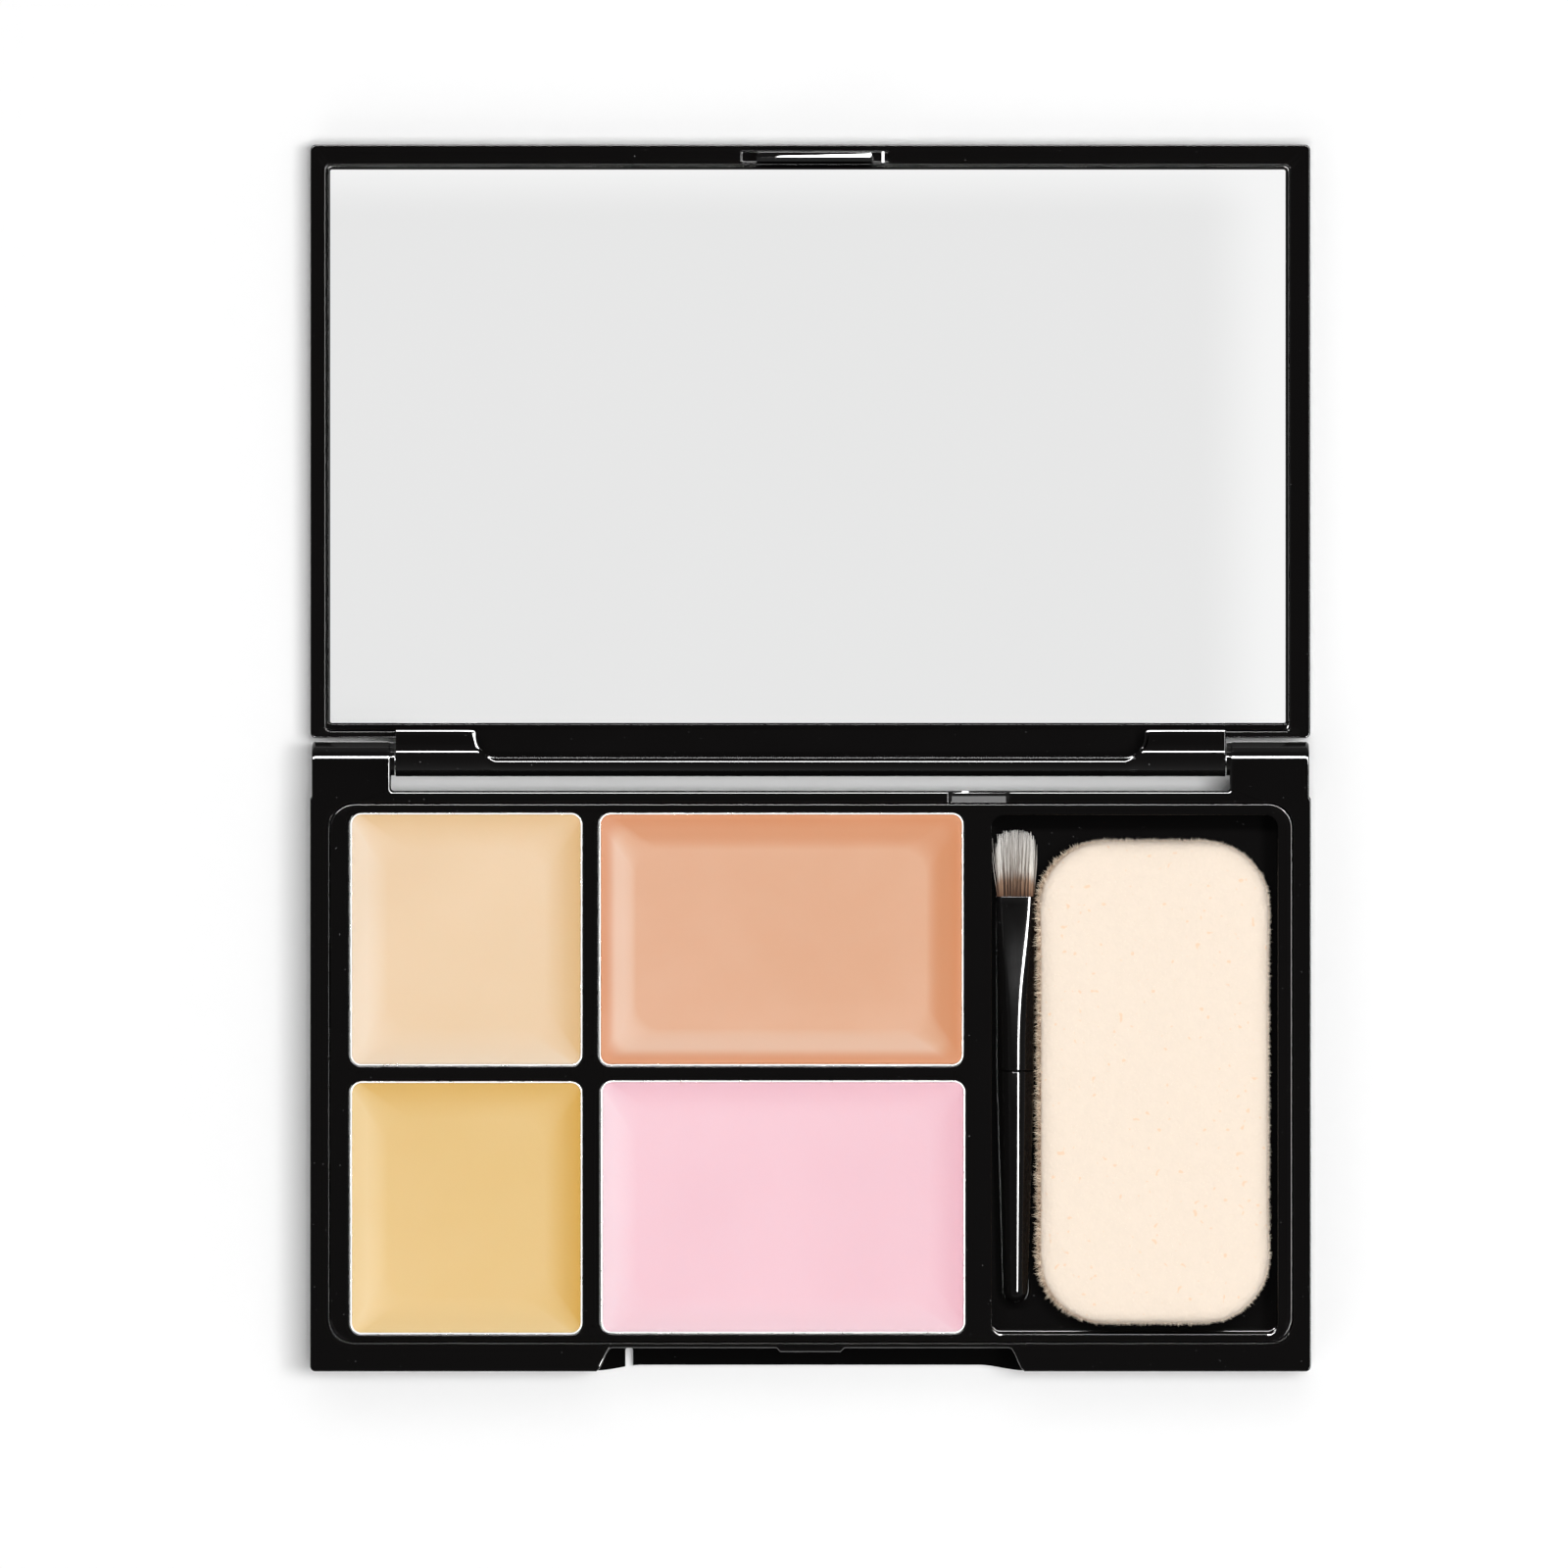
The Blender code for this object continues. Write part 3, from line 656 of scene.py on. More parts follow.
def recess_places():
    """Places along X where the recess outline has its points, left to right."""
    flare = [RECESS_HALF - LEDGE_SWEEP * i / 14 for i in range(15)]
    lug = [LUG_HALF, LUG_HALF - LUG_REACH, LUG_HALF / 2]
    right = sorted(flare + lug)
    return [-x for x in reversed(right)] + [0.0] + right


def front_outline(inset, z, on_ledge):
    """Front edge from left to right, with the recess, its slot and the catch lug."""
    level = 0.0 if on_ledge else LEDGE_HEIGHT
    front = BASE_FRONT + inset
    points = []
    slot_end = BASE_FRONT + RECESS_DEPTH - SLOT_HALF
    slot_arc = arc((SLOT_X, slot_end), SLOT_HALF, 180, 0, 10)
    slot_done = False
    for x in recess_places():
        if abs(x - SLOT_X) < SLOT_HALF:
            continue
        if x > SLOT_X and not slot_done:
            slot_done = True
            rims = [(SLOT_X - SLOT_HALF, None)] + slot_arc + [(SLOT_X + SLOT_HALF, None)]
            for place_x, place_y in rims:
                wall = front + recess_depth(place_x, level)
                y = place_y if on_ledge and place_y else wall
                points.append((place_x, max(y, wall)))
        lug = LUG_REACH if z >= LUG_LOW and abs(x) < LUG_HALF - LUG_REACH / 2 else 0.0
        points.append((x, front + recess_depth(x, level) - lug))
    return points


def notch_drop(x):
    """Share of the rear notch's depth at that place along X."""
    return smooth_step((NOTCH_HALF + NOTCH_SIDE / 2 - abs(x - NOTCH_X)) / NOTCH_SIDE)


def notch_places():
    """Places along X of the notch's sides, right to left."""
    offsets = [NOTCH_HALF + NOTCH_SIDE / 2 - NOTCH_SIDE * i / 5 for i in range(6)]
    return [NOTCH_X + offset for offset in offsets] + [NOTCH_X - offset for offset in reversed(offsets)]


def ear_outline(inset, rear, reach):
    """Right ear seen from above, from its outer foot to its inner foot."""
    side = HALF_WIDTH - SIDE_SHARE * inset
    outer = side - EAR_INDENT
    inner = EAR_INNER + inset
    tip = rear + reach
    corner = min(EAR_CORNER, reach / 2)
    points = [(side, rear - 0.9 * MM), (outer, rear - 0.6 * MM)]
    points += arc((outer - EAR_CORNER, tip - EAR_CORNER), EAR_CORNER, 0, 90, 6)
    points += arc((inner + corner, tip - corner), corner, 90, 180, 6)
    points += arc((inner - corner, rear + corner), corner, 0, -90, 4)
    return points


def base_ring(z, on_ledge=False):
    """Outside of the base at height z, anticlockwise from the front right corner."""
    inset = edge_inset(z, 0.0, BASE_TOP, OUTER_FILLET, BASE_RIM_FILLET)
    side, front, rear = HALF_WIDTH - SIDE_SHARE * inset, BASE_FRONT + inset, BASE_REAR - inset
    corner = max(CASE_CORNER - inset, 0.1 * MM)
    ear = ear_outline(inset, rear, ear_reach(z))
    flat = arc((side - corner, front + corner), corner, -90, 0, 6) + ear
    points = [(x, y, z) for x, y in flat]
    for x in notch_places():
        floor = BASE_TOP - NOTCH_DEPTH * notch_drop(x)
        points.append((x, rear, min(z, floor)))
    flat = [(-x, y) for x, y in reversed(ear)]
    flat += arc((corner - side, front + corner), corner, 180, 270, 6)
    flat += front_outline(inset, z, on_ledge)
    return points + [(x, y, z) for x, y in flat]


def base_levels():
    """Heights of the base's rings above the ledge."""
    levels = {LUG_LOW - FIT, LUG_LOW, EAR_FOOT, LEDGE_HEIGHT + LEDGE_FILLET}
    steps = 16
    for i in range(steps + 1):
        angle = math.radians(EAR_LOWEST_ANGLE + (90 - EAR_LOWEST_ANGLE) * i / steps)
        levels.add(HINGE_Z + HINGE_RADIUS * math.sin(angle))
    for drop, _ in fillet_steps(BASE_RIM_FILLET):
        levels.add(BASE_TOP - drop)
    for share in (0.25, 0.5, 0.75):
        levels.add(BASE_TOP - NOTCH_DEPTH * share)
    return sorted(levels)


def cavity_ring(inset, z):
    """Inside wall of the base's rim; along the rear it has the notch's places."""
    sides = grown(node_sides("tray_insert"), FIT)
    outline = rounded_rect(sides, TRAY_CORNER - inset, inset)
    quarter = len(outline) // 4
    points = [(x, y, z) for x, y in outline[:quarter]]
    for x in notch_places():
        floor = BASE_TOP - NOTCH_LIP * notch_drop(x)
        points.append((x, sides[3] - inset, min(z, floor)))
    return points + [(x, y, z) for x, y in outline[quarter:]]


def notch_top(bm, outer, inner):
    """Faces of the notch, between the outside loop and the cavity loop."""
    places = notch_places()

    def along(loop):
        found = []
        for x in places:
            near = [vert for vert in loop if abs(vert.co.x - x) < WELD and vert.co.y > TRAY_HIGH.y - MM]
            found.append(near[0])
        return found

    outside, inside = along(outer), along(inner)
    for i in range(len(places) - 1):
        bm.faces.new((outside[i], inside[i], inside[i + 1], outside[i + 1]))


def base_shell(material):
    bm = bmesh.new()
    rings = [base_ring(drop, True) for drop, _ in fillet_steps(OUTER_FILLET)]
    rings.append(base_ring(LEDGE_HEIGHT - LEDGE_FILLET, True))
    rings.append(base_ring(LEDGE_HEIGHT - WELD, True))
    rings.append(base_ring(LEDGE_HEIGHT))
    rings += [base_ring(level) for level in base_levels()]
    outer = skin(bm, rings)
    cavity = [cavity_ring(0.0, BASE_FLOOR)]
    cavity += [cavity_ring(0.0, BASE_TOP - share * NOTCH_DEPTH) for share in (1.0, 0.6)]
    cavity += [cavity_ring(-rise, BASE_TOP - drop) for drop, rise in reversed(fillet_steps(CAVITY_FILLET, 3))]
    inner = skin(bm, cavity)
    notch_top(bm, outer[-1], inner[-1])
    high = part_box("underside_label")[1]
    label = node_sides("underside_label")
    skin(bm, [rect_ring(label, CASE_CORNER, -FIT, z) for z in (0.0, high.z + FIT)])
    shell = closed_object("base_case", bm, Z_AXIS, (0.0, high.z + FIT, BASE_FLOOR, BASE_TOP))
    for side in (-1, 1):
        ends = sorted((side * (BARREL_HALF + FIT), side * (EAR_INNER + MM)))
        boolean(shell, rod_x("boss", *ends, BOSS_RADIUS, BOSS_STEPS), "UNION")
        ends = sorted((side * BARREL_HALF, side * (HALF_WIDTH + MM)))
        boolean(shell, rod_x("bore", *ends, BORE_RADIUS), "DIFFERENCE")
    flatten_shading(shell)
    place(shell, "base", material, "case_black", "base_shell")


# ---------------------------------------------------------------- tray, pans and creams

PAN_NAMES = ("beige", "peach", "yellow", "pink")


def open_pit(bm, sides, corner, floor, top, top_fillet, floor_fillet):
    """Walls of a pit with a rounded mouth and floor edge; the mouth and floor stay open for capping."""
    rings = []
    for drop, rise in fillet_steps(top_fillet):
        rings.append(rect_ring(sides, corner, -rise, top - drop))
    for rise, inset in reversed(fillet_steps(floor_fillet)):
        rings.append(rect_ring(sides, corner, inset, floor + rise))
    skin(bm, rings)


def brush_bay(bm):
    """The brush and puff compartment; its edges are softest along the front."""
    left, right, front, rear = BAY
    levels = [(TRAY_HIGH.z - drop, -grow) for drop, grow in bevel_steps(BAY_EDGE, BAY_BEVEL)]
    levels += [(BAY_FLOOR + rise, inset) for rise, inset in reversed(fillet_steps(BAY_FLOOR_FILLET))]
    rings = []
    for z, inset in levels:
        side = BAY_SIDE_SHARE * inset
        ring = rounded_rect((left + side, right - side, front + inset, rear - side), BAY_CORNER - inset)
        rings.append([(x, y, z) for x, y in ring])
    skin(bm, rings)


def tray_insert(material):
    bm = bmesh.new()
    edges = (fillet_steps(TRAY_FOOT_FILLET), fillet_steps(TRAY_FILLET))
    skin(bm, slab_rings(node_sides("tray_insert"), TRAY_CORNER, TRAY_LOW.z, TRAY_HIGH.z, *edges))
    for name in PAN_NAMES:
        open_pit(bm, node_sides("pan_" + name), PAN_CORNER + FIT, WELL_FLOOR, TRAY_HIGH.z, WELL_FILLET, FIT)
    brush_bay(bm)
    tray = closed_object("tray", bm, Z_AXIS, (TRAY_LOW.z, WELL_FLOOR, BAY_FLOOR, TRAY_HIGH.z))
    flatten_shading(tray)
    place(tray, "base", material, "tray_black", "tray_insert")


def pan_shell(name, material):
    """Pressed pan with a rolled rim."""
    low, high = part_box("pan_" + name)
    sides = node_sides("pan_" + name)
    roll = PAN_WALL / 2
    bm = bmesh.new()
    rings = [rect_ring(sides, PAN_CORNER, inset, low.z + rise)
             for rise, inset in fillet_steps(PAN_FOOT_FILLET)]
    for y, z in arc((0.0, 0.0), roll, 180, 0, 8):
        rings.append(rect_ring(sides, PAN_CORNER, roll + y, high.z - roll + z))
    rings += [rect_ring(sides, PAN_CORNER, PAN_WALL + inset, low.z + PAN_WALL + rise)
              for rise, inset in reversed(fillet_steps(PAN_FLOOR_FILLET))]
    skin(bm, rings)
    pan = closed_object("pan_rim_" + name, bm, Z_AXIS, (low.z, low.z + PAN_WALL))
    flatten_shading(pan)
    place(pan, "base", material, "pan_aluminium", "pan_" + name)


# Cream surfaces: width of the raised border, slope length and depth of the dish
CREAM_SHAPES = {
    "beige": (0.0, 4.2 * MM, 0.60 * MM),
    "peach": (1.3 * MM, 4.1 * MM, 0.50 * MM),
    "yellow": (0.0, 4.2 * MM, 0.60 * MM),
    "pink": (0.0, 4.0 * MM, 0.50 * MM),
}
# Colours of the middle, of painted shade on slopes turned to the left or front, and of painted light on
# slopes turned to the right or rear;
# the last value is how much turning to the front or rear counts beside turning to the sides
CREAM_LOOKS = {
    "beige": ((0.700, 0.510, 0.325), (0.650, 0.412, 0.183), (0.72, 0.57, 0.42), 0.6),
    "peach": ((0.622, 0.335, 0.202), (0.550, 0.192, 0.064), (0.675, 0.435, 0.315), 0.9),
    "yellow": ((0.655, 0.442, 0.166), (0.598, 0.338, 0.062), (0.69, 0.50, 0.24), 0.6),
    "pink": ((0.750, 0.470, 0.530), (0.745, 0.412, 0.48), (0.76, 0.54, 0.59), 0.6),
}
# Growth of the corner radius per unit of distance from the wall
CREAM_CORNER_GROWTH = 0.45
CREAM_GAP = 0.01 * MM
CREAM_STEPS = 28
CREAM_ARC_STEPS = 12


def cream_height(name, inset):
    """Drop of the cream below its highest line at that distance from the pan's wall."""
    border, slope, dish = CREAM_SHAPES[name]
    if border:
        return dish * smooth_step(inset / slope)
    share = min(inset / slope, 1.0)
    return dish * (1 - (1 - share) ** 2)


def shore_share(border, inset):
    """How much a place belongs to the raised border along the pan's wall."""
    return 1 - smooth_step((inset - border * 0.4) / (border * 1.1)) if border else 0.0


def cream_surface(name, material):
    """Poured cream: a shallow dish that leaves a raised border in some pans."""
    low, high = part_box("cream_" + name)
    gap = PAN_WALL + CREAM_GAP
    sides = grown(node_sides("pan_" + name), -gap)
    half = min(sides[1] - sides[0], sides[3] - sides[2]) / 2
    border, slope, _ = CREAM_SHAPES[name]
    insets = [slope * i / CREAM_STEPS for i in range(CREAM_STEPS + 1)]
    insets += [slope + (half - slope) * share for share in (0.25, 0.5, 0.75, 0.9)]
    corner = PAN_CORNER - gap
    bm = bmesh.new()
    shore = bm.verts.layers.float.new("shore")
    rings = [[(x, y, low.z) for x, y in rounded_rect(sides, corner, 0.0, CREAM_ARC_STEPS)]]
    for inset in insets:
        radius = min(corner + CREAM_CORNER_GROWTH * inset, half - inset)
        outline = rounded_rect(sides, radius, inset, CREAM_ARC_STEPS)
        rings.append([(x, y, high.z - cream_height(name, inset)) for x, y in outline])
    loops = skin(bm, rings)
    for loop, inset in zip(loops[1:], insets):
        for vert in loop:
            vert[shore] = shore_share(border, inset)
    weld(bm)
    cap(bm, Z_AXIS, low.z)
    cap(bm, Z_AXIS, high.z - cream_height(name, insets[-1]))
    cream = make_object("cream_fill_" + name, bm, math.radians(60))
    place(cream, "base", material, "cream_" + name, "cream_" + name)


# ---------------------------------------------------------------- lid

def lid_body():
    """Shallow lid shell with the mirror opening and the pocket of the latch hook."""
    bm = bmesh.new()
    sides = (-HALF_WIDTH, HALF_WIDTH, LID_REAR, LID_FRONT)
    edges = (fillet_steps(OUTER_FILLET), fillet_steps(LID_RIM_FILLET))
    skin(bm, slab_rings(sides, CASE_CORNER, 0.0, LID_TOP, *edges))
    opening = grown(node_sides("mirror_carrier"), FIT)
    open_pit(bm, opening, CASE_CORNER, LID_FLOOR, LID_TOP, OPENING_FILLET, FIT)
    rear = LID_FRONT - HOOK_INSET + FIT - POCKET_WIDTH
    pocket = (HOOK_X - POCKET_HALF, HOOK_X + POCKET_HALF, rear, rear + POCKET_WIDTH)
    floor_level = LID_TOP - POCKET_DEPTH
    open_pit(bm, pocket, POCKET_CORNER, floor_level, LID_TOP, POCKET_MOUTH_FILLET, POCKET_FLOOR_FILLET)
    return closed_object("lid_case", bm, Z_AXIS, (0.0, LID_FLOOR, floor_level, LID_TOP))


def trough_path():
    """Back edge of the barrel's top seen from above, right half: (x, y, direction into the material)."""
    heel = HINGE_Y + BARREL_HEEL
    front = HINGE_Y + TROUGH_FRONT
    path = [(BARREL_HALF, heel, (0.0, -1.0)), (TROUGH_HALF + 4 * BLOCK_CORNER, heel, (0.0, -1.0))]
    centre = (TROUGH_HALF + BLOCK_CORNER, heel - BLOCK_CORNER)
    for x, y in arc(centre, BLOCK_CORNER, 90, 180, 8):
        path.append((x, y, ((centre[0] - x) / BLOCK_CORNER, (centre[1] - y) / BLOCK_CORNER)))
    centre = (TROUGH_HALF - TROUGH_CORNER, front + TROUGH_CORNER)
    for x, y in arc(centre, TROUGH_CORNER, 0, -90, 12):
        path.append((x, y, ((x - centre[0]) / TROUGH_CORNER, (y - centre[1]) / TROUGH_CORNER)))
    path.append((TROUGH_HALF - 3 * TROUGH_CORNER, front, (0.0, -1.0)))
    return path


def barrel_ring(x, back, inward, trim):
    """Outline of the hinge barrel at one place; trim pulls its outside in, for the rounded ends."""
    heel = HINGE_Y + BARREL_HEEL - trim
    share = smooth_step((abs(x) - TROUGH_HALF + TROUGH_CORNER) / TROUGH_CORNER)
    land = HINGE_Y - TROUGH_LAND + (BARREL_LAND + TROUGH_LAND) * share
    top = HINGE_Z + HINGE_RADIUS - trim
    radius = HINGE_RADIUS - trim
    points = [(x, y, z) for y, z in arc((HINGE_Y, HINGE_Z), radius, 270, 195, 6)]
    for i in range(13):
        angle = math.radians(180 - 90 * i / 12)
        y = land + (land - HINGE_Y + radius) * math.cos(angle)
        points.append((x, y, HINGE_Z + radius * math.sin(angle)))
    for drop, inset in bevel_steps(BARREL_EDGE, TROUGH_BEVEL + BARREL_BEVEL * share):
        shift = inset + trim
        points.append((x + inward[0] * shift, back + inward[1] * shift, top - drop))
    points.append((x, back - trim if abs(inward[0]) < 0.01 else back, TROUGH_FLOOR))
    points.append((x, heel, TROUGH_FLOOR))
    points.append((x, heel, LID_FLOOR + BARREL_FOOT))
    points.append((x, LID_REAR + FIT, LID_FLOOR + BARREL_FOOT))
    points.append((x, LID_REAR + FIT, LID_FLOOR + HINGE_RADIUS))
    return points


def lid_barrel():
    """Hinge barrel across the lid's back: thick blocks at both ends, a trough along its middle."""
    path = trough_path()
    right = []
    heel = HINGE_Y + BARREL_HEEL
    for drop, inset in fillet_steps(BARREL_EDGE, 4):
        right.append(barrel_ring(BARREL_HALF - drop, heel, (0.0, -1.0), inset))
    right += [barrel_ring(x, y, inward, 0.0) for x, y, inward in path[1:]]
    left = [[(-x, y, z) for x, y, z in ring] for ring in reversed(right)]
    bm = bmesh.new()
    skin(bm, right + left)
    return closed_object("barrel_tool", bm, X_AXIS, (BARREL_HALF, -BARREL_HALF))


def hook_ring(x, trim):
    """Outline of the latch hook; trim pulls it in, for the rounded ends. Its bevel widens to the right."""
    outer = LID_FRONT - HOOK_INSET - trim
    inner = LID_FRONT - HOOK_INSET - HOOK_THICKNESS + trim
    top = HOOK_TOP - trim
    edge = HOOK_EDGE
    narrow, wide = HOOK_BEVEL
    share = smooth_step((x - HOOK_X + HOOK_HALF) / (2 * HOOK_HALF))
    bevel = narrow + (wide - narrow) * share
    low = top - BEVEL_FALL * bevel
    outline = [(outer, LID_FLOOR + MM)]
    outline += arc((outer - edge, low - edge), edge, 0, 90, 5)
    outline.append((inner + edge + bevel, low))
    outline += arc((inner + edge, top - edge), edge, 90, 150, 4)
    nose_z = HOOK_TOP - HOOK_THICKNESS
    outline += arc((inner - HOOK_NOSE + edge, nose_z), edge, 160, 230, 4)
    outline.append((inner, nose_z - HOOK_NOSE - edge))
    outline.append((inner, LID_FLOOR + MM))
    return [(x, y, z) for y, z in outline]


def latch_hook():
    bm = bmesh.new()
    ends = [(drop * MM, trim * MM) for drop, trim in HOOK_ENDS]
    middle = [(HOOK_X + HOOK_HALF * share, 0.0) for share in (0.6, 0.3, 0.0, -0.3, -0.6)]
    places = [(HOOK_X + HOOK_HALF - drop, trim) for drop, trim in ends] + middle
    places += [(HOOK_X - HOOK_HALF + drop, trim) for drop, trim in reversed(ends)]
    skin(bm, [hook_ring(x, trim) for x, trim in places])
    cap(bm, X_AXIS, HOOK_X + HOOK_HALF)
    cap(bm, X_AXIS, HOOK_X - HOOK_HALF)
    return make_object("hook_tool", bm)


def pocket_rib():
    """Small rib across the right end of the hook's pocket, falling outwards."""
    outer = LID_FRONT - HOOK_INSET
    low, high = RIB_X - RIB_HALF, RIB_X + RIB_HALF
    top = LID_TOP - FIT
    outline = [(low, top), (high, top - 2 * RIB_HALF * BEVEL_FALL), (high, LID_FLOOR), (low, LID_FLOOR)]
    bm = bmesh.new()
    skin(bm, [[(x, y, z) for x, z in outline] for y in (outer - POCKET_WIDTH, outer)])
    cap(bm, Y_AXIS, outer - POCKET_WIDTH)
    cap(bm, Y_AXIS, outer)
    return make_object("rib_tool", bm)


def lid_shell(material):
    shell = lid_body()
    boolean(shell, lid_barrel(), "UNION")
    boolean(shell, latch_hook(), "UNION")
    boolean(shell, pocket_rib(), "UNION")
    for side in (-1, 1):
        ends = sorted((side * (PIN_LOW.x - FIT), side * (BARREL_HALF + MM)))
        boolean(shell, rod_x("bore", *ends, BORE_RADIUS), "DIFFERENCE")
    flatten_shading(shell)
    place(shell, "lid", material, "case_black", "lid_shell")


def mirror_carrier(material):
    """Thin frame that holds the mirror."""
    low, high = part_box("mirror_carrier")
    seat = grown(node_sides("mirror_glass"), FIT)
    seat_floor = low.z + CARRIER_FLOOR
    bm = bmesh.new()
    edges = (fillet_steps(FIT), fillet_steps(CARRIER_FILLET, 3))
    skin(bm, slab_rings(node_sides("mirror_carrier"), CASE_CORNER, low.z, high.z, *edges))
    open_pit(bm, seat, GLASS_CORNER + FIT, seat_floor, high.z, CARRIER_FILLET, FIT)
    carrier = closed_object("mirror_frame", bm, Z_AXIS, (low.z, seat_floor, high.z))
    flatten_shading(carrier)
    place(carrier, "lid", material, "case_black", "mirror_carrier")


def mirror_glass(material):
    """Mirror with ground edges."""
    low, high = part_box("mirror_glass")
    bm = bmesh.new()
    edge = fillet_steps(GLASS_BEVEL, 3)
    skin(bm, slab_rings(node_sides("mirror_glass"), GLASS_CORNER, low.z, high.z, edge, edge))
    glass = closed_object("mirror", bm, Z_AXIS, (low.z, high.z))
    flatten_shading(glass)
    place(glass, "lid", material, "mirror_silver", "mirror_glass")


# ---------------------------------------------------------------- brush

MOUTH_SQUARENESS = 5.0
MOUTH_HALF_HEIGHT = 0.85 * MM
MOUTH_LIP = 0.05 * MM
MOUTH_DEPTH = 3 * MM
SEAM_FILLET = 0.12 * MM
HANDLE_FILLET = 0.15 * MM
HANDLE_TAPER = 0.68
DOME_ANGLE = 88
HAIR_COUNT = 620
CLUMPS = 11.0
HAIR_RADIUS = 0.055 * MM


def section_ring(centre, y, half_width, half_height, squareness=2.0, steps=56):
    """Cross-section of the brush: an ellipse at squareness 2, flatter on top as it grows."""
    points = []
    for i in range(steps):
        angle = 2 * math.pi * i / steps
        cosine, sine = math.cos(angle), math.sin(angle)
        x = math.copysign(abs(cosine) ** (2 / squareness), cosine)
        z = math.copysign(abs(sine) ** (2 / squareness), sine)
        points.append((centre.x + half_width * x, y, centre.z + half_height * z))
    return points


def brush_axis():
    low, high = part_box("brush_handle")
    return (low + high) / 2


def brush_handle(material):
    """Round lacquered handle, tapering to a domed end."""
    low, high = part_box("brush_handle")
    centre = brush_axis()
    seam = (high.x - low.x) / 2
    slim = seam * HANDLE_TAPER
    straight = low.y + slim
    bm = bmesh.new()
    rings = [section_ring(centre, high.y - drop, seam - inset, seam - inset)
             for drop, inset in fillet_steps(HANDLE_FILLET)]
    rings.append(section_ring(centre, straight, slim, slim))
    for i in range(1, 10):
        angle = math.radians(DOME_ANGLE * i / 9)
        radius = slim * math.cos(angle)
        rings.append(section_ring(centre, straight - slim * math.sin(angle), radius, radius))
    skin(bm, rings)
    end = straight - slim * math.sin(math.radians(DOME_ANGLE))
    handle = closed_object("handle", bm, Y_AXIS, (high.y, end))
    place(handle, "brush", material, "handle_black", "brush_handle")


def ferrule_size(share, seam, half, thickness):
    """Half width and half height of the ferrule: round at the seam, flat at the mouth."""
    ease = smooth_step(share)
    return seam + (half - seam) * ease, seam + (thickness - seam) * ease


def brush_ferrule(material):
    """Lacquered ferrule: round at the seam, pressed flat at its open mouth."""
    low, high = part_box("brush_ferrule")
    centre = brush_axis()
    seam = (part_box("brush_handle")[1].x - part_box("brush_handle")[0].x) / 2
    half = (high.x - low.x) / 2
    thickness = MOUTH_HALF_HEIGHT
    lip = MOUTH_LIP
    length = high.y - low.y
    bm = bmesh.new()
    rings = [section_ring(centre, low.y + rise, seam - inset, seam - inset)
             for rise, inset in fillet_steps(SEAM_FILLET)]
    for i in range(1, 25):
        share = i / 24
        width, height = ferrule_size(share, seam, half, thickness)
        square = 2 + (MOUTH_SQUARENESS - 2) * share ** 3
        rings.append(section_ring(centre, low.y + share * (length - lip), width, height, square))
    width, height = ferrule_size(1.0, seam, half, thickness)
    for angle in (30, 60, 90, 120, 150, 180):
        inset = lip * (1 - math.cos(math.radians(angle))) / 2
        rise = lip * math.sin(math.radians(angle))
        y = high.y - lip + rise
        rings.append(section_ring(centre, y, width - inset, height - inset, MOUTH_SQUARENESS))
    inside = high.y - MOUTH_DEPTH
    rings.append(section_ring(centre, inside, width - lip, height - lip, MOUTH_SQUARENESS))
    skin(bm, rings)
    ferrule = closed_object("ferrule", bm, Y_AXIS, (low.y, inside))
    place(ferrule, "brush", material, "ferrule_black", "brush_ferrule")


def add_hair(bm, layers, points, radius, tone):
    """Tapered hair with a triangular section along the given points."""
    along_layer, tone_layer = layers
    rings = []
    last = len(points) - 1
    for i, point in enumerate(points):
        size = radius * (1.0 - 0.75 * (i / last) ** 2)
        ring = []
        for k in range(3):
            angle = 2 * math.pi * k / 3
            offset = Vector((math.cos(angle), 0.0, math.sin(angle))) * size
            vert = bm.verts.new(point + offset)
            vert[along_layer] = i / last
            vert[tone_layer] = tone
            ring.append(vert)
        rings.append(ring)
    for lower, upper in zip(rings, rings[1:]):
        for k in range(3):
            m = (k + 1) % 3
            bm.faces.new((lower[k], lower[m], upper[m], upper[k]))
    bm.faces.new(reversed(rings[0]))
    bm.faces.new(rings[-1])


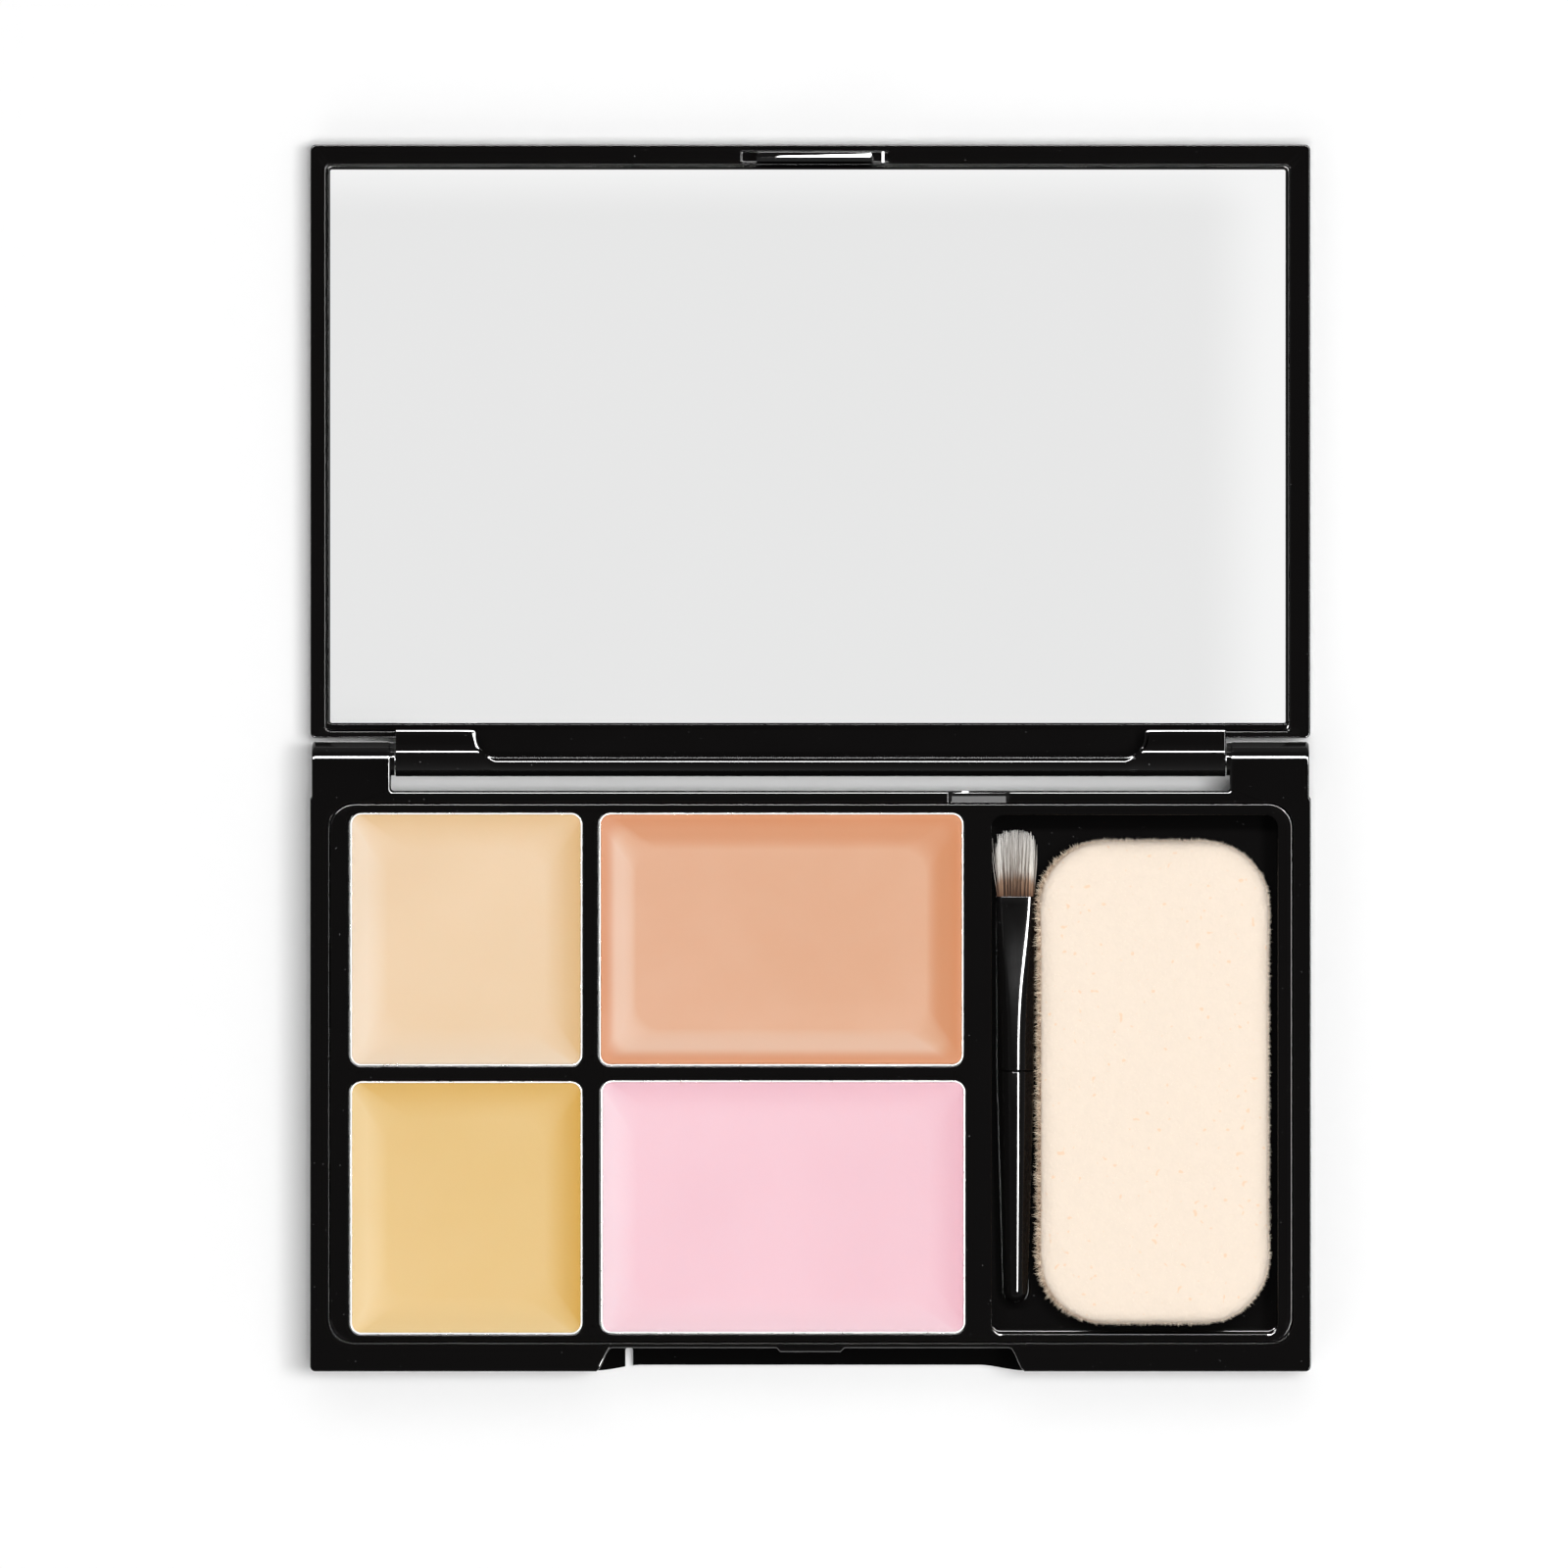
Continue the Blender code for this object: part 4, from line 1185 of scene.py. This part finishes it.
def brush_bristles(material):
    """Flat tuft of separate hairs, rounded at the tip, with a few strays."""
    rng = random.Random(11)
    low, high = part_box("brush_bristles")
    centre = brush_axis()
    root_y = low.y - 1.5 * MM
    half = (high.x - low.x) / 2
    thickness = (high.z - low.z) / 2
    bm = bmesh.new()
    layers = (bm.verts.layers.float.new("along"), bm.verts.layers.float.new("tone"))
    for _ in range(HAIR_COUNT):
        across = rng.uniform(-1, 1)
        depth = rng.uniform(-1, 1) * math.sqrt(max(1 - across * across, 0.0))
        clump = noise.noise(Vector((across * CLUMPS, 0.0, 3.7)))
        reach = 1.0 - 0.20 * abs(across) ** 3.5 - 0.16 * rng.random() ** 2 - 0.12 * max(-clump, 0.0)
        stray = 1.0 if rng.random() > 0.04 else 1.12
        tip_x = across * half * (0.98 - 0.10 * abs(across) ** 3) * stray + rng.gauss(0, 0.2) * MM
        tip_y = low.y + (high.y - low.y) * min(reach, 1.0)
        # Tone follows the clumps plus a random spread: hairs where clumps part get a low tone, painted darker
        # as the shade in the gaps.
        tone = min(max(0.62 + 1.9 * clump + rng.gauss(0, 0.4), 0.0), 1.0)
        points = []
        for k in range(7):
            share = k / 6
            bend = smooth_step(share)
            x = centre.x + across * half * 0.86 * (1 - bend) + tip_x * bend
            y = root_y + (tip_y - root_y) * share
            z = centre.z + depth * thickness * (0.75 + 0.2 * math.sin(math.pi * share) - 0.45 * bend)
            points.append(Vector((x, y, z)))
        add_hair(bm, layers, points, HAIR_RADIUS * rng.uniform(0.7, 1.2), tone)
    hairs = make_object("bristles", bm, math.radians(80))
    place(hairs, "brush", material, "brush_hair", "brush_bristles")


# ---------------------------------------------------------------- puff

PUFF_CORNER = 7.8 * MM
PUFF_EDGE = 0.8 * MM
PUFF_SHRINK = 0.04 * MM
SIM_SCALE = 20.0
SIM_VOXEL = 0.7 * MM
SIM_FRAMES = 20
SIM_PRESSURE = 1.6
SIM_MOST = 0.3 * MM
FIBRE_COUNT = 26000
FLOCK_TUFTS = 3600.0


def puff_box():
    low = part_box("puff_velour_bottom")[0]
    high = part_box("puff_velour_top")[1]
    return low, high


def puff_slab(scale):
    """Round-edged slab, a little smaller than the finished puff."""
    low, high = puff_box()
    centre = (low + high) / 2
    size = (high - low) / 2
    sides = (-size.x + PUFF_SHRINK, size.x - PUFF_SHRINK, -size.y + PUFF_SHRINK, size.y - PUFF_SHRINK)
    edge = fillet_steps(PUFF_EDGE, 7)
    half_height = size.z - PUFF_SHRINK
    bm = bmesh.new()
    rings = slab_rings(sides, PUFF_CORNER, -half_height, half_height, edge, edge)
    skin(bm, [[(x * scale, y * scale, z * scale) for x, y, z in ring] for ring in rings])
    cap_low, cap_high = -half_height * scale, half_height * scale
    cap(bm, Z_AXIS, cap_low)
    cap(bm, Z_AXIS, cap_high)
    return make_object("puff_body", bm), centre


def evaluated_mesh(piece):
    depsgraph = bpy.context.evaluated_depsgraph_get()
    return bpy.data.meshes.new_from_object(piece.evaluated_get(depsgraph))


def vertex_places(mesh):
    places = np.zeros(len(mesh.vertices) * 3)
    mesh.vertices.foreach_get("co", places)
    return places.reshape(-1, 3)


def remeshed(piece, voxel):
    modifier = piece.modifiers.new("remesh", "REMESH")
    modifier.mode = "VOXEL"
    modifier.voxel_size = voxel
    mesh = evaluated_mesh(piece)
    piece.modifiers.clear()
    piece.data = mesh


def inflate(piece):
    """Cloth with inner pressure swells the slab; no point may move further than SIM_MOST."""
    start = vertex_places(piece.data)
    cloth = piece.modifiers.new("cloth", "CLOTH")
    settings = cloth.settings
    settings.quality = 6
    settings.mass = 0.3
    settings.tension_stiffness = 18
    settings.compression_stiffness = 18
    settings.shear_stiffness = 8
    settings.bending_stiffness = 2
    settings.use_pressure = True
    settings.uniform_pressure_force = SIM_PRESSURE
    settings.effector_weights.gravity = 0
    cloth.point_cache.frame_start = 1
    cloth.point_cache.frame_end = SIM_FRAMES
    for number in range(1, SIM_FRAMES + 1):
        bpy.context.scene.frame_set(number)
    mesh = evaluated_mesh(piece)
    piece.modifiers.clear()
    bpy.context.scene.frame_set(1)
    moved = vertex_places(mesh) - start
    length = np.linalg.norm(moved, axis=1, keepdims=True)
    most = SIM_MOST * SIM_SCALE
    moved *= np.minimum(1.0, most / np.maximum(length, 1e-9))
    mesh.vertices.foreach_set("co", (start + moved).ravel())
    mesh.update()
    piece.data = mesh


def settle(piece, centre):
    """Scales the puff back to its place and adds the slow unevenness of handled foam."""
    lowest = puff_box()[0].z
    places = vertex_places(piece.data) / SIM_SCALE
    for i, (x, y, z) in enumerate(places):
        wave = noise.noise(Vector((x, y, z)) * 120) * 0.10 * MM
        wave += noise.noise(Vector((x, y, z)) * 420) * 0.04 * MM
        places[i][2] += wave
    places += np.array(centre)
    places[:, 2] = np.maximum(places[:, 2], lowest)
    piece.data.vertices.foreach_set("co", places.ravel())
    piece.data.update()
    piece.data.shade_smooth()
    fine = piece.modifiers.new("fine", "SUBSURF")
    fine.levels = 1
    fine.render_levels = 1
    mesh = evaluated_mesh(piece)
    piece.modifiers.clear()
    piece.data = mesh
    piece.data.shade_smooth()


def flock(puff, count):
    """Short fibres over the puff's top and sides, denser and longer on the sides, where painted shade makes
    them browner, most on the left.
    """
    rng = random.Random(5)
    mesh = puff.data
    mesh.calc_loop_triangles()
    triangles = [t for t in mesh.loop_triangles if t.normal.z > -0.3]
    weights = [t.area * (1.0 + 5.0 * (1 - abs(t.normal.z))) for t in triangles]
    bm = bmesh.new()
    tone_layer = bm.verts.layers.float.new("tone")
    side_shade_layer = bm.verts.layers.float.new("side")
    for triangle in rng.choices(triangles, weights, k=count):
        a, b, c = (mesh.vertices[i].co for i in triangle.vertices)
        u, v = sorted((rng.random(), rng.random()))
        root = a * u + b * (v - u) + c * (1 - v)
        normal = triangle.normal
        # side lengthens and widens the fibres and also sets their painted shade, strongest on sides turned to
        # the left.
        side = smooth_step((0.55 - normal.z) / 0.6) * (0.25 + 0.75 * max(-normal.x, 0.0))
        tuft = noise.noise(root * FLOCK_TUFTS)
        lean = Vector((rng.gauss(0, 1), rng.gauss(0, 1), rng.gauss(0, 0.5)))
        length = rng.uniform(0.10, 0.28) * MM * (1 + 1.8 * side) * (1 + tuft)
        half_width = (0.022 + 0.03 * side) * MM
        tip = root + (normal + lean * 0.9).normalized() * length
        across = normal.cross(lean).normalized() * half_width
        other = normal.cross(across).normalized() * half_width
        tone = min(max(0.55 + 1.4 * tuft + rng.gauss(0, 0.15), 0.0), 1.0)
        verts = [bm.verts.new(root + across), bm.verts.new(root - across + other),
                 bm.verts.new(root - across - other), bm.verts.new(tip)]
        for vert in verts:
            vert[tone_layer] = tone
            vert[side_shade_layer] = side
        for corners in ((0, 1, 3), (1, 2, 3), (2, 0, 3), (0, 2, 1)):
            bm.faces.new([verts[k] for k in corners])
    return make_object("puff_flock", bm)


def puff(body_material, fibre):
    piece, centre = puff_slab(SIM_SCALE)
    remeshed(piece, SIM_VOXEL * SIM_SCALE)
    inflate(piece)
    settle(piece, centre)
    fibres = flock(piece, FIBRE_COUNT)
    place(piece, "puff", body_material, "puff_velour", "puff_velour_top", "puff_core", "puff_velour_bottom")
    place(fibres, "puff", fibre, "puff_velour")


# ---------------------------------------------------------------- stage

CAMERA_HEIGHT = 4.0
FRAME_WIDTH = 180.15 * MM
CAMERA_AIM = (-3.04 * MM, 34.15 * MM)
LIGHT_DISTANCE = 1.62
FLOOR_HALF = 3.0
FLOOR_DROP = 0.02 * MM


def floor():
    """Plain pale floor."""
    half = FLOOR_HALF
    piece = flat_sheet("floor", ((-half, -half), (half, -half), (half, half), (-half, half)), 0.0)
    piece.location.z = -FLOOR_DROP
    shader = Shader("floor_paper", (0.86, 0.86, 0.86), 0.8)
    grain = shader.noise(300, 2)
    shader.feed("Base Color", shader.mix(grain, (0.855, 0.855, 0.855), (0.865, 0.865, 0.865)))
    shader.set("Specular IOR Level", 0.1)
    piece.data.materials.append(shader.material)


def softbox(name, azimuth, tilt, size, power, receivers=None):
    """Area light aimed at the object: azimuth from +X towards +Y, tilt from straight overhead, in degrees."""
    light = bpy.data.lights.new(name, "AREA")
    light.shape = "RECTANGLE"
    light.size, light.size_y = size
    light.energy = power
    piece = bpy.data.objects.new(name, light)
    turn = Matrix.Rotation(math.radians(azimuth), 4, "Z") @ Matrix.Rotation(math.radians(tilt), 4, "Y")
    aim = Matrix.Translation((0.0, HINGE_Y, 0.0))
    piece.matrix_world = aim @ turn @ Matrix.Translation((0.0, 0.0, LIGHT_DISTANCE))
    if receivers:
        piece.light_linking.receiver_collection = receivers
    piece.visible_camera = False
    bpy.context.scene.collection.objects.link(piece)


def receiver_groups():
    """Glossy black pieces, and everything else but the mirror, as collections for light linking."""
    glossy = bpy.data.collections.new("glossy_pieces")
    matt = bpy.data.collections.new("matt_pieces")
    for piece in bpy.context.scene.objects:
        if piece.type != "MESH" or piece.name == "mirror":
            continue
        black = piece.get("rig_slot") in ("case_black", "tray_black", "ferrule_black", "handle_black")
        (glossy if black else matt).objects.link(piece)
    return glossy, matt


def mirror_card(mirror):
    """Pale card far above that only the mirror shows."""
    height = CAMERA_HEIGHT + 0.1
    low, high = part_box("mirror_glass")
    aim_x, aim_y = CAMERA_AIM
    spread = height / CAMERA_HEIGHT
    margin = 0.02
    left = low.x + (low.x - aim_x) * spread - margin
    right = high.x + (high.x - aim_x) * spread + margin
    front = low.y + (low.y - aim_y) * spread - margin / 2
    rear = high.y + (high.y - aim_y) * spread + margin
    card = flat_sheet("mirror_card", ((left, front), (left, rear), (right, rear), (right, front)), height)
    card.data.materials.append(card_glow())
    card.visible_camera = False
    card.visible_shadow = False
    receivers = bpy.data.collections.new("mirror_only")
    receivers.objects.link(mirror)
    card.light_linking.receiver_collection = receivers


def card_glow():
    """Plain glow that grows brighter along the card's far and right edges."""
    material = bpy.data.materials.new("card_glow")
    material.use_nodes = True
    nodes, links = material.node_tree.nodes, material.node_tree.links
    nodes.remove(nodes["Principled BSDF"])
    place_at = nodes.new("ShaderNodeTexCoord")
    split = nodes.new("ShaderNodeSeparateXYZ")
    links.new(place_at.outputs["Generated"], split.inputs["Vector"])
    joined = nodes.new("ShaderNodeCombineXYZ")
    for axis, start, end in (("X", 0.84, 0.92), ("Y", 0.80, 0.90)):
        edge = nodes.new("ShaderNodeMapRange")
        edge.inputs["From Min"].default_value = start
        edge.inputs["From Max"].default_value = end
        links.new(split.outputs[axis], edge.inputs["Value"])
        links.new(edge.outputs["Result"], joined.inputs[axis])
    length = nodes.new("ShaderNodeVectorMath")
    length.operation = "LENGTH"
    links.new(joined.outputs["Vector"], length.inputs[0])
    glow = nodes.new("ShaderNodeMapRange")
    glow.interpolation_type = "SMOOTHSTEP"
    glow.inputs["To Min"].default_value = 0.83
    glow.inputs["To Max"].default_value = 0.95
    links.new(length.outputs["Value"], glow.inputs["Value"])
    emission = nodes.new("ShaderNodeEmission")
    links.new(glow.outputs["Result"], emission.inputs["Strength"])
    links.new(emission.outputs["Emission"], nodes["Material Output"].inputs["Surface"])
    return material


def world():
    """Bright at the horizon, dim overhead."""
    scene_world = bpy.data.worlds.new("studio")
    bpy.context.scene.world = scene_world
    scene_world.use_nodes = True
    nodes, links = scene_world.node_tree.nodes, scene_world.node_tree.links
    place_at = nodes.new("ShaderNodeTexCoord")
    split = nodes.new("ShaderNodeSeparateXYZ")
    ramp = nodes.new("ShaderNodeValToRGB")
    links.new(place_at.outputs["Generated"], split.inputs["Vector"])
    links.new(split.outputs["Z"], ramp.inputs["Fac"])
    stops = ((0.0, 0.4), (0.45, 0.22), (0.8, 0.07), (0.97, 0.03), (1.0, 0.03))
    elements = ramp.color_ramp.elements
    for i, (position, value) in enumerate(stops):
        if i < 2:
            elements[i].position = position
        else:
            elements.new(position)
    for element, (position, value) in zip(elements, stops):
        element.position = position
        element.color = (value, value, value, 1.0)
    links.new(ramp.outputs["Color"], nodes["Background"].inputs["Color"])


def camera():
    data = bpy.data.cameras.new("camera")
    data.sensor_width = 36
    data.lens = data.sensor_width * CAMERA_HEIGHT / FRAME_WIDTH
    data.clip_start, data.clip_end = 0.1, 20.0
    piece = bpy.data.objects.new("camera", data)
    piece.location = (*CAMERA_AIM, CAMERA_HEIGHT + BASE_TOP)
    bpy.context.scene.collection.objects.link(piece)
    bpy.context.scene.camera = piece


def stage():
    floor()
    glossy, matt = receiver_groups()
    lid_only = bpy.data.collections.new("lid_only")
    lid_only.objects.link(bpy.data.objects["lid_case"])
    softbox("key", 0, 13, (0.65, 0.36), 16.0, matt)
    softbox("rear", 90, 34, (0.4, 0.8), 1.2, matt)
    softbox("fill", 240, 50, (0.8, 0.8), 2.0, matt)
    softbox("overhead", 270, 9, (0.14, 0.14), 4.5, matt)
    softbox("sky", 0, 0, (2.6, 2.6), 11.0, matt)
    softbox("right_strip", 0, 17, (0.2, 0.9), 42.0, glossy)
    softbox("rear_strip", 90, 16, (0.14, 1.2), 62.0, glossy)
    softbox("rear_glow", 90, 50, (0.09, 0.6), 0.8, glossy)
    softbox("front_strip", 270, 9, (0.06, 1.2), 20.0, lid_only)
    world()
    camera()
    mirror_card(bpy.data.objects["mirror"])
    bpy.context.scene.view_settings.view_transform = "Standard"


# ---------------------------------------------------------------- assembly

def dress_cad_nodes():
    """Small hidden pieces keep their CAD mesh and get a finish of their own."""
    pin, glue, paper = steel(), adhesive(), label_paper()
    finishes = {"hinge_pin_left": pin, "hinge_pin_right": pin, "mirror_tape": glue, "underside_label": paper}
    for name in PAN_NAMES:
        finishes["glue_" + name] = glue
    for name, material in finishes.items():
        node = frame["nodes"][name]
        node.data.materials.clear()
        node.data.materials.append(material)


def build():
    case = gloss_black("case_black", 0.025)
    tray = gloss_black("tray_black", 0.035)
    metal = aluminium()
    base_shell(case)
    tray_insert(tray)
    for name in PAN_NAMES:
        pan_shell(name, metal)
        cream_surface(name, cream_material("cream_" + name, *CREAM_LOOKS[name]))
    lid_shell(case)
    mirror_carrier(case)
    mirror_glass(mirror_silver())
    lacquer = gloss_black("ferrule_black", 0.06)
    brush_handle(lacquer)
    brush_ferrule(lacquer)
    brush_bristles(hair_material())
    puff(flock_material("puff_velour", (0.835, 0.715, 0.597), (0.76, 0.53, 0.34)), fibre_material())
    dress_cad_nodes()
    stage()


build()
